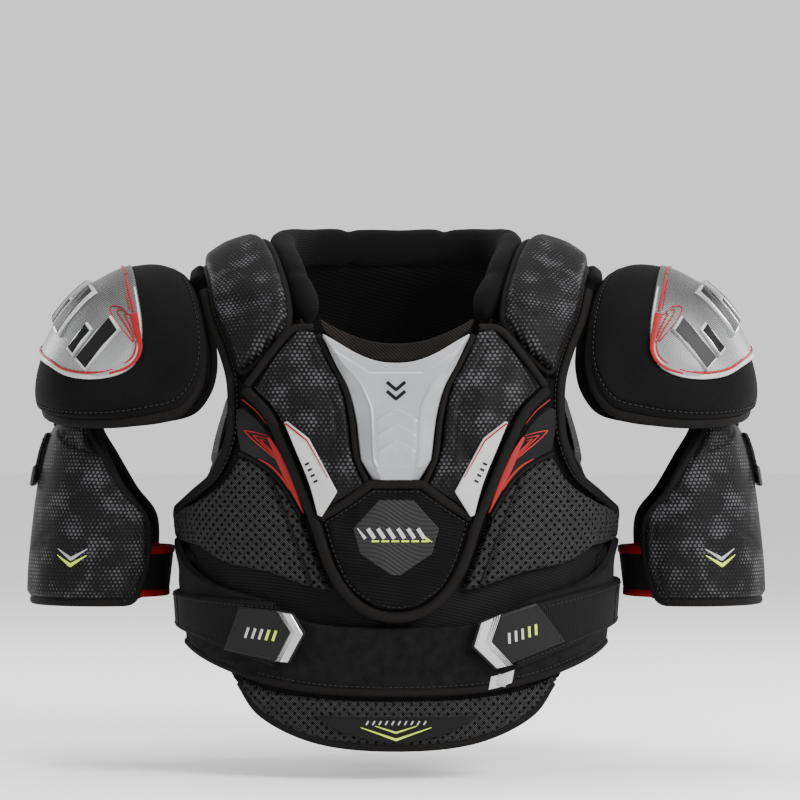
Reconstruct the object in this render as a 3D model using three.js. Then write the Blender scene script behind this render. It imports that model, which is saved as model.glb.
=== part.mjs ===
// Ice hockey shoulder pads, senior size, in the shape they take when worn.
// Millimetres. +X is the wearer's left, +Y the wearer's back, +Z up. The origin is the centre of the
// wearer's neck at the height of the collarbones, where the pads hang from the shoulders.
// Every soft part is a closed sheet that lies at a stated depth over the wearer's skin, so the layers
// stack without touching: liner, then pads, then trim.
import * as THREE from 'three';

// ---------- driving dimensions ----------
const SECTION_POWER = 2.4;            // squareness of the torso's horizontal sections
const SECTIONS = [                    // height, half width, front depth, back depth of the torso
  [-370, 150, 117, 98],
  [-300, 154, 118, 100],
  [-240, 158, 119, 104],
  [-170, 164, 120, 114],
  [-100, 171, 116, 120],
  [-50, 174, 104, 118],
  [-10, 172, 84, 104],
  [14, 150, 66, 84],
  [28, 121, 58, 70],
  [38, 100, 54, 62],
  [50, 80, 52, 58],
  [70, 66, 50, 54],
];
const YOKE_CENTRE_Z = -30;            // the shoulder pads are laid out by angle about this line
const LINER = [0, 5];                 // depths over the skin: inner and outer face of each layer
const BASE_PAD = [6.5, 14];
const BIB_PAD = [6.5, 21];
const BAND = [10, 15];
const TRAP_PAD = [6.5, 20];
const STRAP = [17, 20];
const PIPING_RADIUS = 3.2;

const CAP_CENTRE = [195, 0, -75];     // centre of the shoulder cap's dome
const CAP_RADII = { out: 92, in: 100, up: 102, fore: 96 };
const CAP_PLAN_POWER = 1.8;           // roundness of the dome seen from the front
const CAP_FACE_POWER = 2.6;           // flatness of its front and back faces
const CAP_THICKNESS = 12;
const PIPING_GAP = 5.7;                // from the cap pad's edge to the middle of its piping
const CAP_SHELL = [-18, -15];

const ARM_TOP_Z = -75;
const ARM_X = 216;                    // arm's centre at ARM_TOP_Z
const ARM_LEAN = 0.11;                // outward lean of the upper arm
const ARM_Y = 5;
const ARM_RADII = [[-250, 48], [-160, 48], [-125, 45.5], [-105, 41.5], [-90, 34]];
const ARM_LINER = [0.5, 3];
const ARM_PAD = [4.5, 13];

const SIDES = { left: 1, right: -1 };
const rad = THREE.MathUtils.degToRad;

// ---------- materials ----------
const material = (color, roughness = 0.85, metalness = 0) =>
  new THREE.MeshStandardMaterial({ color, roughness, metalness });
const KNIT = material(0x0b0b0c);
const PRINT = material(0x1a1a1c, 0.7);
const MESH_FABRIC = material(0x2c2c2d);
const LOOP_FABRIC = material(0x080808, 0.95);
const LINER_FABRIC = material(0x141415);
const TAPE = material(0x100f0e);
const WHITE_PLASTIC = material(0xd9dadb, 0.35);
const WHITE_FILM = material(0xcfd0d1, 0.5);
const SILVER_FILM = material(0x9c9d9f, 0.4, 0.2);
const RED_GRAPHIC = material(0xb3201f, 0.6);
const BADGE_RUBBER = material(0x1c1c1e, 0.5);
const HARD_SHELL = material(0x0c0c0d, 0.4);

// ---------- small maths ----------
const lerp = (a, b, t) => a + (b - a) * t;
const mix = (p, q, t) => p.map((v, i) => lerp(v, q[i], t));

// Smooth value of each column of a table at x, the table's first column rising.
function smoothRow(table, x) {
  const last = table.length - 2;
  let i = table.findIndex((row, k) => k > last || x < table[k + 1][0]);
  i = THREE.MathUtils.clamp(i, 0, last);
  const p = [table[Math.max(i - 1, 0)], table[i], table[i + 1], table[Math.min(i + 2, last + 1)]];
  const t = THREE.MathUtils.clamp((x - p[1][0]) / (p[2][0] - p[1][0]), 0, 1);
  const slope = (a, b, c) => (b[0] === a[0] ? 0 : (b[c] - a[c]) / (b[0] - a[0]));
  const span = p[2][0] - p[1][0];
  return p[1].slice(1).map((_, k) => {
    const c = k + 1;
    const m1 = slope(p[0], p[2], c) * span;
    const m2 = slope(p[1], p[3], c) * span;
    const t2 = t * t;
    const t3 = t2 * t;
    return (2 * t3 - 3 * t2 + 1) * p[1][c] + (t3 - 2 * t2 + t) * m1
      + (-2 * t3 + 3 * t2) * p[2][c] + (t3 - t2) * m2;
  });
}

// ---------- the wearer's torso ----------
function torsoField(x, y, z) {
  const [a, f, g] = smoothRow(SECTIONS, z);
  const b = y < 0 ? f : g;
  return Math.pow(Math.abs(x) / a, SECTION_POWER) + Math.pow(Math.abs(y) / b, SECTION_POWER) - 1;
}
function outward(p) {
  const h = 0.5;
  return new THREE.Vector3(
    torsoField(p.x + h, p.y, p.z) - torsoField(p.x - h, p.y, p.z),
    torsoField(p.x, p.y + h, p.z) - torsoField(p.x, p.y - h, p.z),
    torsoField(p.x, p.y, p.z + h) - torsoField(p.x, p.y, p.z - h),
  ).normalize();
}
function skinPoint(turn, z) {
  const [a, f, g] = smoothRow(SECTIONS, z);
  const s = Math.sin(rad(turn));
  const c = Math.cos(rad(turn));
  const e = 2 / SECTION_POWER;
  const b = c > 0 ? f : g;
  return new THREE.Vector3(
    a * Math.sign(s) * Math.pow(Math.abs(s), e), -b * Math.sign(c) * Math.pow(Math.abs(c), e), z);
}
// Torso surface: turn is 0 at the front, 90 at the wearer's left side, 180 at the back.
const torso = ([turn, z], depth) => {
  const p = skinPoint(turn, z);
  return p.addScaledVector(outward(p), depth);
};
// Place on the torso surface that is seen from the front at (x, z) when it lies at that depth.
const front = (x, z, depth) => {
  let across = Math.abs(x);
  let place = [0, z];
  for (let i = 0; i < 8; i++) {
    const share = Math.min(across / smoothRow(SECTIONS, place[1])[0], 0.995);
    place = [THREE.MathUtils.radToDeg(Math.asin(Math.pow(share, SECTION_POWER / 2))), place[1]];
    const p = torso(place, depth);
    across += Math.abs(x) - p.x;
    place[1] += z - p.z;
  }
  return [Math.sign(x) * place[0], place[1]];
};
// Yoke surface, over the shoulders: x across, angle 0 forwards, 90 up, 180 backwards.
const yoke = ([x, angle], depth) => {
  const dir = new THREE.Vector3(0, -Math.cos(rad(angle)), Math.sin(rad(angle)));
  let low = 0;
  let high = 220;
  for (let i = 0; i < 40; i++) {
    const mid = (low + high) / 2;
    if (torsoField(x, dir.y * mid, YOKE_CENTRE_Z + dir.z * mid) < 0) low = mid;
    else high = mid;
  }
  const p = new THREE.Vector3(x, dir.y * low, YOKE_CENTRE_Z + dir.z * low);
  return p.addScaledVector(outward(p), depth);
};
const yokeFront = (x, z, depth) => {
  const p = skinPoint(...front(x, z, depth));
  return [p.x, THREE.MathUtils.radToDeg(Math.atan2(p.z - YOKE_CENTRE_Z, -p.y))];
};

// ---------- the upper arm and the shoulder cap ----------
const armRadius = (z) => smoothRow(ARM_RADII, z)[0];
const armX = (z) => ARM_X + ARM_LEAN * (ARM_TOP_Z - z);
// Arm surface: angle 0 is outward from the body, -90 forwards, 180 inward.
const arm = ([angle, z], depth) => {
  const r = armRadius(z) + depth;
  return new THREE.Vector3(armX(z) + r * Math.cos(rad(angle)), ARM_Y + r * Math.sin(rad(angle)), z);
};
function domeField(v) {
  const rx = v.x > 0 ? CAP_RADII.out : CAP_RADII.in;
  const plan = Math.pow(Math.abs(v.x) / rx, CAP_PLAN_POWER)
    + Math.pow(Math.abs(v.z) / CAP_RADII.up, CAP_PLAN_POWER);
  return Math.pow(plan, CAP_FACE_POWER / CAP_PLAN_POWER)
    + Math.pow(Math.abs(v.y) / CAP_RADII.fore, CAP_FACE_POWER) - 1;
}
// Cap surface: the point of the dome in a direction from its centre.
const dome = (direction, depth) => {
  const dir = direction.clone().normalize();
  let low = 1;
  let high = 200;
  for (let i = 0; i < 40; i++) {
    const mid = (low + high) / 2;
    if (domeField(dir.clone().multiplyScalar(mid)) < 0) low = mid;
    else high = mid;
  }
  const v = dir.multiplyScalar(low);
  const h = 0.5;
  const g = (axis) => domeField(v.clone().addScaledVector(axis, h))
    - domeField(v.clone().addScaledVector(axis, -h));
  const n = new THREE.Vector3(g(new THREE.Vector3(1, 0, 0)), g(new THREE.Vector3(0, 1, 0)),
    g(new THREE.Vector3(0, 0, 1))).normalize();
  return v.addScaledVector(n, depth).add(new THREE.Vector3(...CAP_CENTRE));
};

// ---------- closed solids ----------
function closedGeometry(points, triangles) {
  let volume = 0;
  for (const [a, b, c] of triangles)
    volume += points[a].dot(new THREE.Vector3().crossVectors(points[b], points[c]));
  const index = triangles.flatMap(([a, b, c]) => (volume < 0 ? [a, c, b] : [a, b, c]));
  const geometry = new THREE.BufferGeometry();
  geometry.setAttribute('position',
    new THREE.Float32BufferAttribute(points.flatMap((p) => [p.x, p.y, p.z]), 3));
  geometry.setIndex(index);
  geometry.computeVertexNormals();
  return geometry;
}
// Place on an edge that is a list of points, at share t of its length counted by points.
function along(edge, t) {
  const s = t * (edge.length - 1);
  const i = Math.min(Math.floor(s), edge.length - 2);
  return mix(edge[i], edge[i + 1], s - i);
}
// A sheet that runs through two or more edges on a surface, each a list of places from its start to
// its end. crown thins it towards its borders, as sewn padding is.
function sheet(surface, edges, depths, { rows, cols, crown = 0, side = 1 }) {
  const points = [];
  const grid = (face) => {
    const first = points.length;
    for (let i = 0; i <= rows; i++)
      for (let j = 0; j <= cols; j++) {
        const t = i / rows;
        const s = j / cols;
        const full = (1 - Math.pow(2 * s - 1, 4)) * (1 - Math.pow(2 * t - 1, 4));
        const depth = face === 0 ? depths[0]
          : lerp(depths[0], depths[1], 1 - crown * (1 - full));
        const p = surface(along(edges.map((edge) => along(edge, t)), s), depth);
        p.x *= side;
        points.push(p);
      }
    return (i, j) => first + i * (cols + 1) + j;
  };
  const inner = grid(0);
  const outer = grid(1);
  const triangles = [];
  const quad = (a, b, c, d) => triangles.push([a, b, c], [a, c, d]);
  for (let i = 0; i < rows; i++)
    for (let j = 0; j < cols; j++) {
      quad(outer(i, j), outer(i, j + 1), outer(i + 1, j + 1), outer(i + 1, j));
      quad(inner(i, j), inner(i + 1, j), inner(i + 1, j + 1), inner(i, j + 1));
    }
  for (let i = 0; i < rows; i++) {
    quad(inner(i, 0), outer(i, 0), outer(i + 1, 0), inner(i + 1, 0));
    quad(inner(i, cols), inner(i + 1, cols), outer(i + 1, cols), outer(i, cols));
  }
  for (let j = 0; j < cols; j++) {
    quad(inner(0, j), inner(0, j + 1), outer(0, j + 1), outer(0, j));
    quad(inner(rows, j), outer(rows, j), outer(rows, j + 1), inner(rows, j + 1));
  }
  return closedGeometry(points, triangles);
}
// A round-edged sheet on the cap's dome, inside a rim of directions.
function domeSheet(rim, pole, depths, { rings, side, crown = 0 }) {
  const n = rim.length;
  const points = [];
  const disc = (face) => {
    const first = points.length;
    const at = (share, k) => {
      const full = 1 - Math.pow(share, 4);
      const depth = face === 0 ? depths[0] : lerp(depths[0], depths[1], 1 - crown * (1 - full));
      const p = dome(pole.clone().lerp(rim[k], share), depth);
      p.x *= side;
      return p;
    };
    points.push(at(0, 0));
    for (let r = 1; r <= rings; r++)
      for (let k = 0; k < n; k++) points.push(at(r / rings, k));
    return (r, k) => (r === 0 ? first : first + 1 + (r - 1) * n + (k % n));
  };
  const inner = disc(0);
  const outer = disc(1);
  const triangles = [];
  for (let k = 0; k < n; k++) {
    triangles.push([outer(0, 0), outer(1, k), outer(1, k + 1)]);
    triangles.push([inner(0, 0), inner(1, k + 1), inner(1, k)]);
    for (let r = 1; r < rings; r++) {
      triangles.push([outer(r, k), outer(r + 1, k), outer(r + 1, k + 1)]);
      triangles.push([outer(r, k), outer(r + 1, k + 1), outer(r, k + 1)]);
      triangles.push([inner(r, k), inner(r + 1, k + 1), inner(r + 1, k)]);
      triangles.push([inner(r, k), inner(r, k + 1), inner(r + 1, k + 1)]);
    }
    triangles.push([inner(rings, k), outer(rings, k + 1), outer(rings, k)]);
    triangles.push([inner(rings, k), inner(rings, k + 1), outer(rings, k + 1)]);
  }
  return closedGeometry(points, triangles);
}
// A roll of oval section along a line of points. lift is half its height, reach half its width.
function roll(line, reach, lift, { steps, closed = false, corners = 8 }) {
  const curve = new THREE.CatmullRomCurve3(line, closed, 'centripetal');
  const count = closed ? steps : steps + 1;
  const points = [];
  for (let i = 0; i < count; i++) {
    const centre = curve.getPointAt(i / steps);
    const tangent = curve.getTangentAt(i / steps);
    const out = new THREE.Vector3(centre.x - (closed ? line.middle.x : 0),
      centre.y - (closed ? line.middle.y : 0), closed ? centre.z - line.middle.z : 0);
    out.addScaledVector(tangent, -out.dot(tangent)).normalize();
    const up = new THREE.Vector3().crossVectors(tangent, out);
    for (let k = 0; k < corners; k++) {
      const turn = (2 * Math.PI * k) / corners;
      points.push(centre.clone().addScaledVector(out, reach * Math.cos(turn))
        .addScaledVector(up, lift * Math.sin(turn)));
    }
  }
  const triangles = [];
  const ring = (i, k) => (i % count) * corners + (k % corners);
  for (let i = 0; i < steps; i++)
    for (let k = 0; k < corners; k++)
      triangles.push([ring(i, k), ring(i, k + 1), ring(i + 1, k + 1)],
        [ring(i, k), ring(i + 1, k + 1), ring(i + 1, k)]);
  if (!closed)
    for (let k = 1; k < corners - 1; k++) {
      triangles.push([0, k + 1, k]);
      triangles.push([ring(steps, 0), ring(steps, k), ring(steps, k + 1)]);
    }
  return closedGeometry(points, triangles);
}
const vectors = (list, side = 1) => list.map(([x, y, z]) => new THREE.Vector3(side * x, y, z));

const pads = new THREE.Group();
function add(name, geometry, finish) {
  const mesh = new THREE.Mesh(geometry, finish);
  mesh.name = name;
  pads.add(mesh);
}
const onFront = (list, depth) => list.map(([x, z]) => front(x, z, depth));
const flip = (list) => list.map(([x, z]) => [-x, z]);

// ---------- outlines, in the front view: x from the middle, z ----------
const BIB_INNER = [[62, -26], [51, -50], [41, -70], [36, -92], [32, -125], [22, -146], [40, -157],
  [56, -168]];
const BIB_OUTER = [[74, -20], [94, -43], [112, -69], [92, -89], [78, -119], [69, -144], [64, -158],
  [60, -166]];
const TRAP_INNER = [[121, -57], [101, -38], [86, -17], [86, 2]];
const TRAP_OUTER = [[124, -58], [131, -38], [140, -16], [148, 2]];
const PLATE_SIDE = [[58, -27], [48, -50], [38, -69], [32, -91], [28, -125], [17.5, -142]];
const PLATE_MIDDLE = [[0, -50], [0, -64], [0, -78], [0, -96], [0, -125], [0, -142]];
const CENTRE_SIDE = [[17, -147], [37, -160], [54, -173], [45, -204], [31, -224], [14, -235]];
const CENTRE_MIDDLE = [[0, -147], [0, -165], [0, -185], [0, -205], [0, -224], [0, -239]];
const BADGE_SIDE = [[13, -156], [33, -178], [28, -197], [4, -214]];
const BIB_PIPING = [[114, -75], [97, -91], [83, -120], [72, -147], [62, -173], [51, -206], [37, -229],
  [20, -242], [0, -246]];
const MESH_TOP = [[74, -171], [89, -146], [105, -131], [121, -124], [137, -145], [158, -160]];
const MESH_BOTTOM = [[52, -224], [66, -222], [100, -211], [135, -205], [156, -194]];
const ARMHOLE = [[152, 6], [146, -16], [136, -40], [129, -64], [128, -92], [131, -114], [142, -138],
  [160, -154]];
const BAND_TOP = [[-83, -194], [-72, -205], [-55, -221], [-34, -233], [-20, -250], [0, -254],
  [20, -250], [34, -233], [55, -221], [72, -205], [83, -194]];
const BAND_BOTTOM = [[-75, -270], [-64, -277], [-50, -286], [-34, -296], [-17, -303], [0, -305],
  [17, -303], [34, -296], [50, -286], [64, -277], [75, -270]];

// ---------- front half ----------
for (const [side, sign] of Object.entries(SIDES)) {
  const layer = (edges, depths, options) => sheet(torso, edges, depths, { ...options, side: sign });

  add(`front_liner_${side}`, layer([
    [[0.4, -302], [0.4, -245], [0.4, -205], [0.4, -165], [0.4, -125], [0.4, -85], [0.4, -56]],
    [[60, -285], [96, -235], [92, -180], ...onFront([[143, -140], [127, -104], [125, -62], [113, -20]], 5)],
  ], LINER, { rows: 12, cols: 6 }), LINER_FABRIC);

  add(`chest_pad_${side}`, layer([onFront(BIB_INNER, BIB_PAD[1]), onFront(BIB_OUTER, BIB_PAD[1])], BIB_PAD,
    { rows: 14, cols: 4, crown: 0.3 }), PRINT);

  add(`side_mesh_pad_${side}`, layer([
    [...onFront(MESH_TOP, BASE_PAD[1]), [82, -168], [92, -174]],
    [...onFront(MESH_BOTTOM, BASE_PAD[1]), [82, -190], [92, -184]],
  ], BASE_PAD, { rows: 12, cols: 4, crown: 0.25 }), MESH_FABRIC);

  add(`graphic_insert_${side}`, layer([
    onFront([[115, -84], [103, -97], [92, -115], [83, -135], [71, -162]], 13),
    onFront([[123, -86], [123, -102], [120, -118], [101, -129], [72.5, -165]], 13),
  ], [6.5, 13], { rows: 8, cols: 2 }), RED_GRAPHIC);

  add(`accent_insert_${side}`, layer([
    onFront([[79, -100], [63, -122], [45, -149], [54, -165]], 25),
    onFront([[84, -102], [74, -122], [65, -146], [59, -166]], 25),
  ], [22.5, 25], { rows: 6, cols: 2 }), WHITE_FILM);

  const onYoke = ([x, z]) => yokeFront(x, z, TRAP_PAD[1]);
  add(`trap_pad_front_${side}`, sheet(yoke, [
    [...TRAP_INNER.map(onYoke), [96, 60], [104, 88.5]],
    [...TRAP_OUTER.map(onYoke), [144, 60], [146, 88.5]],
  ], TRAP_PAD, { rows: 10, cols: 4, crown: 0.3, side: sign }), PRINT);

  const armholeLine = onFront(ARMHOLE, 13).map((place) => torso(place, 10));
  add(`armhole_piping_${side}`, roll(armholeLine.map((p) => new THREE.Vector3(sign * p.x, p.y, p.z)),
    PIPING_RADIUS, PIPING_RADIUS, { steps: 16, corners: 6 }), TAPE);

  add(`collar_front_${side}`, roll(
    vectors([[68, -82, -18], [76, -66, 0], [85, -42, 21], [92, -5, 37]], sign), 11, 16,
    { steps: 6 }), KNIT);
}

add('sternum_plate', sheet(torso, [onFront(flip(PLATE_SIDE), 27), onFront(PLATE_MIDDLE, 27),
  onFront(PLATE_SIDE, 27)], [14, 27], { rows: 10, cols: 8, crown: 0.35 }), WHITE_PLASTIC);

add('centre_pad', sheet(torso, [onFront(flip(CENTRE_SIDE), 21), onFront(CENTRE_MIDDLE, 21),
  onFront(CENTRE_SIDE, 21)], BIB_PAD, { rows: 10, cols: 6, crown: 0.3 }), KNIT);

add('centre_badge', sheet(torso, [onFront(flip(BADGE_SIDE), 24), onFront(BADGE_SIDE, 24)],
  [22.5, 24.5], { rows: 6, cols: 4 }), BADGE_RUBBER);

const pipingLine = [...flip(BIB_PIPING), ...BIB_PIPING.slice(0, -1).reverse()];
add('bib_piping', roll(onFront(pipingLine, 18).map((place) => torso(place, 18)),
  PIPING_RADIUS, PIPING_RADIUS, { steps: 36, corners: 6 }), TAPE);

add('belly_band', sheet(torso, [BAND_TOP, BAND_BOTTOM], BAND, { rows: 20, cols: 3 }), LOOP_FABRIC);

add('neckline_band', sheet(torso, [
  onFront([[-61, -15], [-40, -26], [-20, -33], [0, -35], [20, -33], [40, -26], [61, -15]], 13),
  onFront([[-57, -24], [-39, -40], [-20, -48], [0, -50], [20, -48], [39, -40], [57, -24]], 13),
], [6.5, 13], { rows: 12, cols: 2 }), MESH_FABRIC);

// ---------- belly extension ----------
add('extension_pad', sheet(torso, [
  [[-48, -291], [-34, -303], [-17, -309], [0, -311], [17, -309], [34, -303], [48, -291]],
  [[-44, -298], [-36, -321], [-19, -340], [0, -346], [19, -340], [36, -321], [44, -298]],
], [9, 14], { rows: 12, cols: 3, crown: 0.3 }), MESH_FABRIC);
add('extension_hook_tongue', sheet(torso, [
  [[-40, -307], [-22, -321], [0, -326], [22, -321], [40, -307]],
  [[-36, -268], [-20, -257], [0, -257], [20, -257], [36, -268]],
], [6.2, 8.2], { rows: 8, cols: 2 }), LOOP_FABRIC);

add('extension_label', sheet(torso, [
  [[-19, -322], [0, -324], [19, -322]],
  [[-12, -334], [0, -342], [12, -334]],
], [15.5, 17], { rows: 4, cols: 1 }), BADGE_RUBBER);
add('size_label', sheet(torso, [
  onFront([[73, -292], [82, -290], [91, -287]], 17),
  onFront([[71, -302], [80, -300], [89, -297]], 17),
], [16.5, 17.5], { rows: 2, cols: 1 }), WHITE_FILM);

// ---------- back half ----------
add('back_liner', sheet(torso, [
  [[122, -296], [116, -230], [112, -168], [128, -120], [138, -60], [142, 26]],
  [[238, -296], [244, -230], [248, -168], [232, -120], [222, -60], [218, 26]],
], LINER, { rows: 10, cols: 10 }), LINER_FABRIC);
add('spine_pad', sheet(torso, [
  [[162, 16], [163, -60], [165, -130], [168, -215]],
  [[198, 16], [197, -60], [195, -130], [192, -215]],
], [6.5, 22], { rows: 8, cols: 4, crown: 0.35 }), KNIT);
add('lower_back_pad', sheet(torso, [
  [[123, -222], [140, -224], [160, -224], [180, -222], [200, -224], [220, -224], [237, -222]],
  [[126, -290], [140, -296], [160, -302], [180, -304], [200, -302], [220, -296], [234, -290]],
], BASE_PAD, { rows: 12, cols: 3, crown: 0.3 }), MESH_FABRIC);
for (const [side, sign] of Object.entries(SIDES)) {
  add(`scapula_pad_${side}`, sheet(torso, [
    [[159, -24], [159, -80], [161, -140], [163, -214]],
    [[140, -36], [133, -80], [124, -138], [122, -214]],
  ], [6.5, 19], { rows: 8, cols: 4, crown: 0.35, side: sign }), MESH_FABRIC);
  add(`trap_pad_back_${side}`, sheet(yoke, [
    [[104, 91.5], [98, 125], [86, 150], [70, 166]],
    [[146, 91.5], [146, 125], [138, 155], [116, 177]],
  ], TRAP_PAD, { rows: 8, cols: 4, crown: 0.3, side: sign }), PRINT);
  add(`shoulder_arch_${side}`, sheet(yoke, [
    [[149, 50], [149, 90], [149, 130]],
    [[155, 50], [155, 90], [155, 130]],
  ], [6.5, 14], { rows: 6, cols: 2, crown: 0.2, side: sign }), KNIT);
}
add('collar_back', roll(
  vectors([[92, 3, 38], [88, 30, 42], [68, 56, 44], [36, 69, 44], [0, 72, 44],
    [-36, 69, 44], [-68, 56, 44], [-88, 30, 42], [-92, 3, 38]]), 11, 16, { steps: 18 }), KNIT);

// ---------- side straps ----------
// The straps run up towards the back: the height of each edge at the middle, and its rise round the side.
const STRAP_EDGES = {
  left: { top: [-256, 36], low: [-316, 61] },
  right: { top: [-238, 8], low: [-312, 54] },
};
const BADGE_EDGES = {
  left: [[[58, -267], [64, -249], [108, -236]], [[58.5, -269.5], [76, -286.5], [131, -266]]],
  right: [[[69.6, -257.5], [79, -242.5], [121, -239]], [[70, -260.5], [82, -282], [133, -273]]],
};
for (const [side, sign] of Object.entries(SIDES)) {
  const edgeAt = ([middle, rise]) => (turn) => [turn, middle + rise * Math.sin(rad(turn))];
  const top = edgeAt(STRAP_EDGES[side].top);
  const low = edgeAt(STRAP_EDGES[side].low);
  const strap = (turns, rows) => sheet(torso, [turns.map(top), turns.map(low)], STRAP,
    { rows, cols: 2, side: sign });
  add(`side_strap_${side}`, strap([29, 42, 58, 74], 9), TAPE);
  add(`strap_anchor_${side}`, strap([76, 95, 108, 119], 7), TAPE);
  const [upper, under] = BADGE_EDGES[side].map((edge) => onFront(edge, 22));
  add(`strap_badge_${side}`, sheet(torso, [upper, under], [21.5, 24], { rows: 4, cols: 2, side: sign }),
    BADGE_RUBBER);
}

// ---------- shoulder caps, hangers and biceps guards ----------
const directions = (list) => list.map((p) =>
  new THREE.Vector3(p[0] - CAP_CENTRE[0], p[1] - CAP_CENTRE[1], p[2] - CAP_CENTRE[2]));
// A rim that is the same at the back as at the front: the given points run from top to bottom.
const bothFaces = (list) => [...list, ...list.slice(1, -1).reverse().map(([x, y, z]) => [x, -y, z])];
const CAP_RIM = bothFaces([[173, 0, 22], [169, -20, 20], [163, -42, 14], [157, -60, 4], [153, -74, -14],
  [151, -82, -34], [151, -87, -52], [156, -90, -70], [168, -93, -86], [190, -94, -92], [214, -90, -95],
  [236, -80, -95], [256, -64, -93], [272, -40, -90], [281, -18, -87], [284, 0, -86]]);
const INSERT_RIM = bothFaces([[210, 0, 22], [208, -24, 16], [204, -48, 6], [200, -68, -8], [197, -80, -24],
  [197, -86, -40], [202, -90, -54], [214, -89, -62], [230, -84, -65], [246, -74, -63], [260, -60, -56],
  [272, -40, -50], [280, -20, -46], [283, 0, -44]]);
for (const [side, sign] of Object.entries(SIDES)) {
  const pole = new THREE.Vector3(30, 0, 70);
  const insertPole = new THREE.Vector3(60, 0, 55);
  add(`cap_pad_${side}`, domeSheet(directions(CAP_RIM), pole, [-CAP_THICKNESS, 0],
    { rings: 5, side: sign, crown: 0.35 }), KNIT);
  add(`cap_shell_${side}`, domeSheet(directions(CAP_RIM).map((v) => v.lerp(pole, 0.12)), pole, CAP_SHELL,
    { rings: 4, side: sign }), HARD_SHELL);
  add(`cap_insert_${side}`, domeSheet(directions(INSERT_RIM), insertPole, [3.2, 5.2],
    { rings: 4, side: sign }), SILVER_FILM);
  const rimLine = directions(CAP_RIM).map((v) => {
    const beyond = v.clone().sub(pole).projectOnPlane(v.clone().normalize()).setLength(PIPING_GAP);
    const p = dome(v.add(beyond), -CAP_THICKNESS * 0.55);
    p.x *= sign;
    return p;
  });
  rimLine.middle = new THREE.Vector3(sign * CAP_CENTRE[0], CAP_CENTRE[1], CAP_CENTRE[2]);
  add(`cap_piping_${side}`, roll(rimLine, 2.4, 2.4, { steps: 36, closed: true, corners: 6 }), TAPE);

  // The upper hanger lies on the inside of the cap; the lower one hangs outside the biceps guard.
  const hanger = ([y, s], depth, line) => {
    const [x, z] = along(line, s);
    return new THREE.Vector3(x + depth, y, z);
  };
  const upper = [[252, -54], [258.5, -66], [264, -78], [269, -93], [271.8, -101]];
  const lower = [[277.3, -105.2], [283, -121], [288, -144]];
  add(`hanger_tab_${side}`, sheet((place, depth) => hanger(place, depth, upper),
    [[[-10, 0], [-10, 1]], [[20, 0], [20, 1]]], [0, 2.2], { rows: 4, cols: 1, side: sign }), TAPE);
  add(`hanger_strap_${side}`, sheet((place, depth) => hanger(place, depth, lower),
    [[[-10, 0], [-10, 1]], [[20, 0], [20, 1]]], [0, 2.4], { rows: 2, cols: 1, side: sign }), TAPE);

  const guardEdge = (sense) => [[56, -94], [64, -106], [80, -124], [102, -154], [121, -174], [126, -200],
    [124, -220], [118, -238]].map(([a, z]) => [sense * a, z]);
  add(`biceps_liner_${side}`, sheet(arm, [guardEdge(-0.97), guardEdge(0.97)], ARM_LINER,
    { rows: 7, cols: 10, side: sign }), LINER_FABRIC);
  add(`biceps_guard_${side}`, sheet(arm, [guardEdge(-1), guardEdge(1)], ARM_PAD,
    { rows: 14, cols: 14, crown: 0.45, side: sign }), PRINT);
  add(`arm_strap_${side}`, sheet(arm, [[[130, -196], [230, -196]], [[130, -236], [230, -236]]], [0.5, 3.2],
    { rows: 8, cols: 2, side: sign }), TAPE);
}

export default pads;
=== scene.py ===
"""Looks of a pair of ice hockey shoulder pads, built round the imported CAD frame.

Every soft piece is a sheet at a stated depth over the wearer's skin, as in the CAD model, but finely
divided, with rolled edges, sewn channels, cloth-simulated swell and its own binding and stitches.
Lengths in this script are millimetres until make() turns them into metres.
"""
import math

import bmesh
import bpy
import numpy as np
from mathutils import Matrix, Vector


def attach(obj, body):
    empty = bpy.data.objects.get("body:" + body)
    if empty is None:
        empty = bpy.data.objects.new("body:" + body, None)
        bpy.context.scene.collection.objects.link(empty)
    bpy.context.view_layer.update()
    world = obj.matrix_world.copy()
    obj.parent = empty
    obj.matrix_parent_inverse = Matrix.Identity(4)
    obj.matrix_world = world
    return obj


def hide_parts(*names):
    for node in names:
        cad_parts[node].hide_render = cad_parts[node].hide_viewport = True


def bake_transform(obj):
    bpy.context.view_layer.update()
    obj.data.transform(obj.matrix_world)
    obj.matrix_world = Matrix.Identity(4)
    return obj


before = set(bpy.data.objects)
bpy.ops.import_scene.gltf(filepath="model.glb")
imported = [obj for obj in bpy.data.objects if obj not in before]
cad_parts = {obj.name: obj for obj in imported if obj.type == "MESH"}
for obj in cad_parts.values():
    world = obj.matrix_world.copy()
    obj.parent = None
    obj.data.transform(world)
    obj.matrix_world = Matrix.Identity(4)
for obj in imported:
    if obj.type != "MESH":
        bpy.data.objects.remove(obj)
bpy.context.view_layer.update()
MM = 0.001
SIDES = {"left": 1, "right": -1}

# ---------------------------------------------------------------- driving dimensions, as in the CAD
SECTION_POWER = 2.4
SECTIONS = [  # height, half width, front depth, back depth of the torso
    [-370, 150, 117, 98],
    [-300, 154, 118, 100],
    [-240, 158, 119, 104],
    [-170, 164, 120, 114],
    [-100, 171, 116, 120],
    [-50, 174, 104, 118],
    [-10, 172, 84, 104],
    [14, 150, 66, 84],
    [28, 121, 58, 70],
    [38, 100, 54, 62],
    [50, 80, 52, 58],
    [70, 66, 50, 54],
]
YOKE_CENTRE_Z = -30
LINER, BASE_PAD, BIB_PAD, BAND = (0, 5), (6.5, 14), (6.5, 21), (10, 15)
TRAP_PAD = (6.5, 20)
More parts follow.
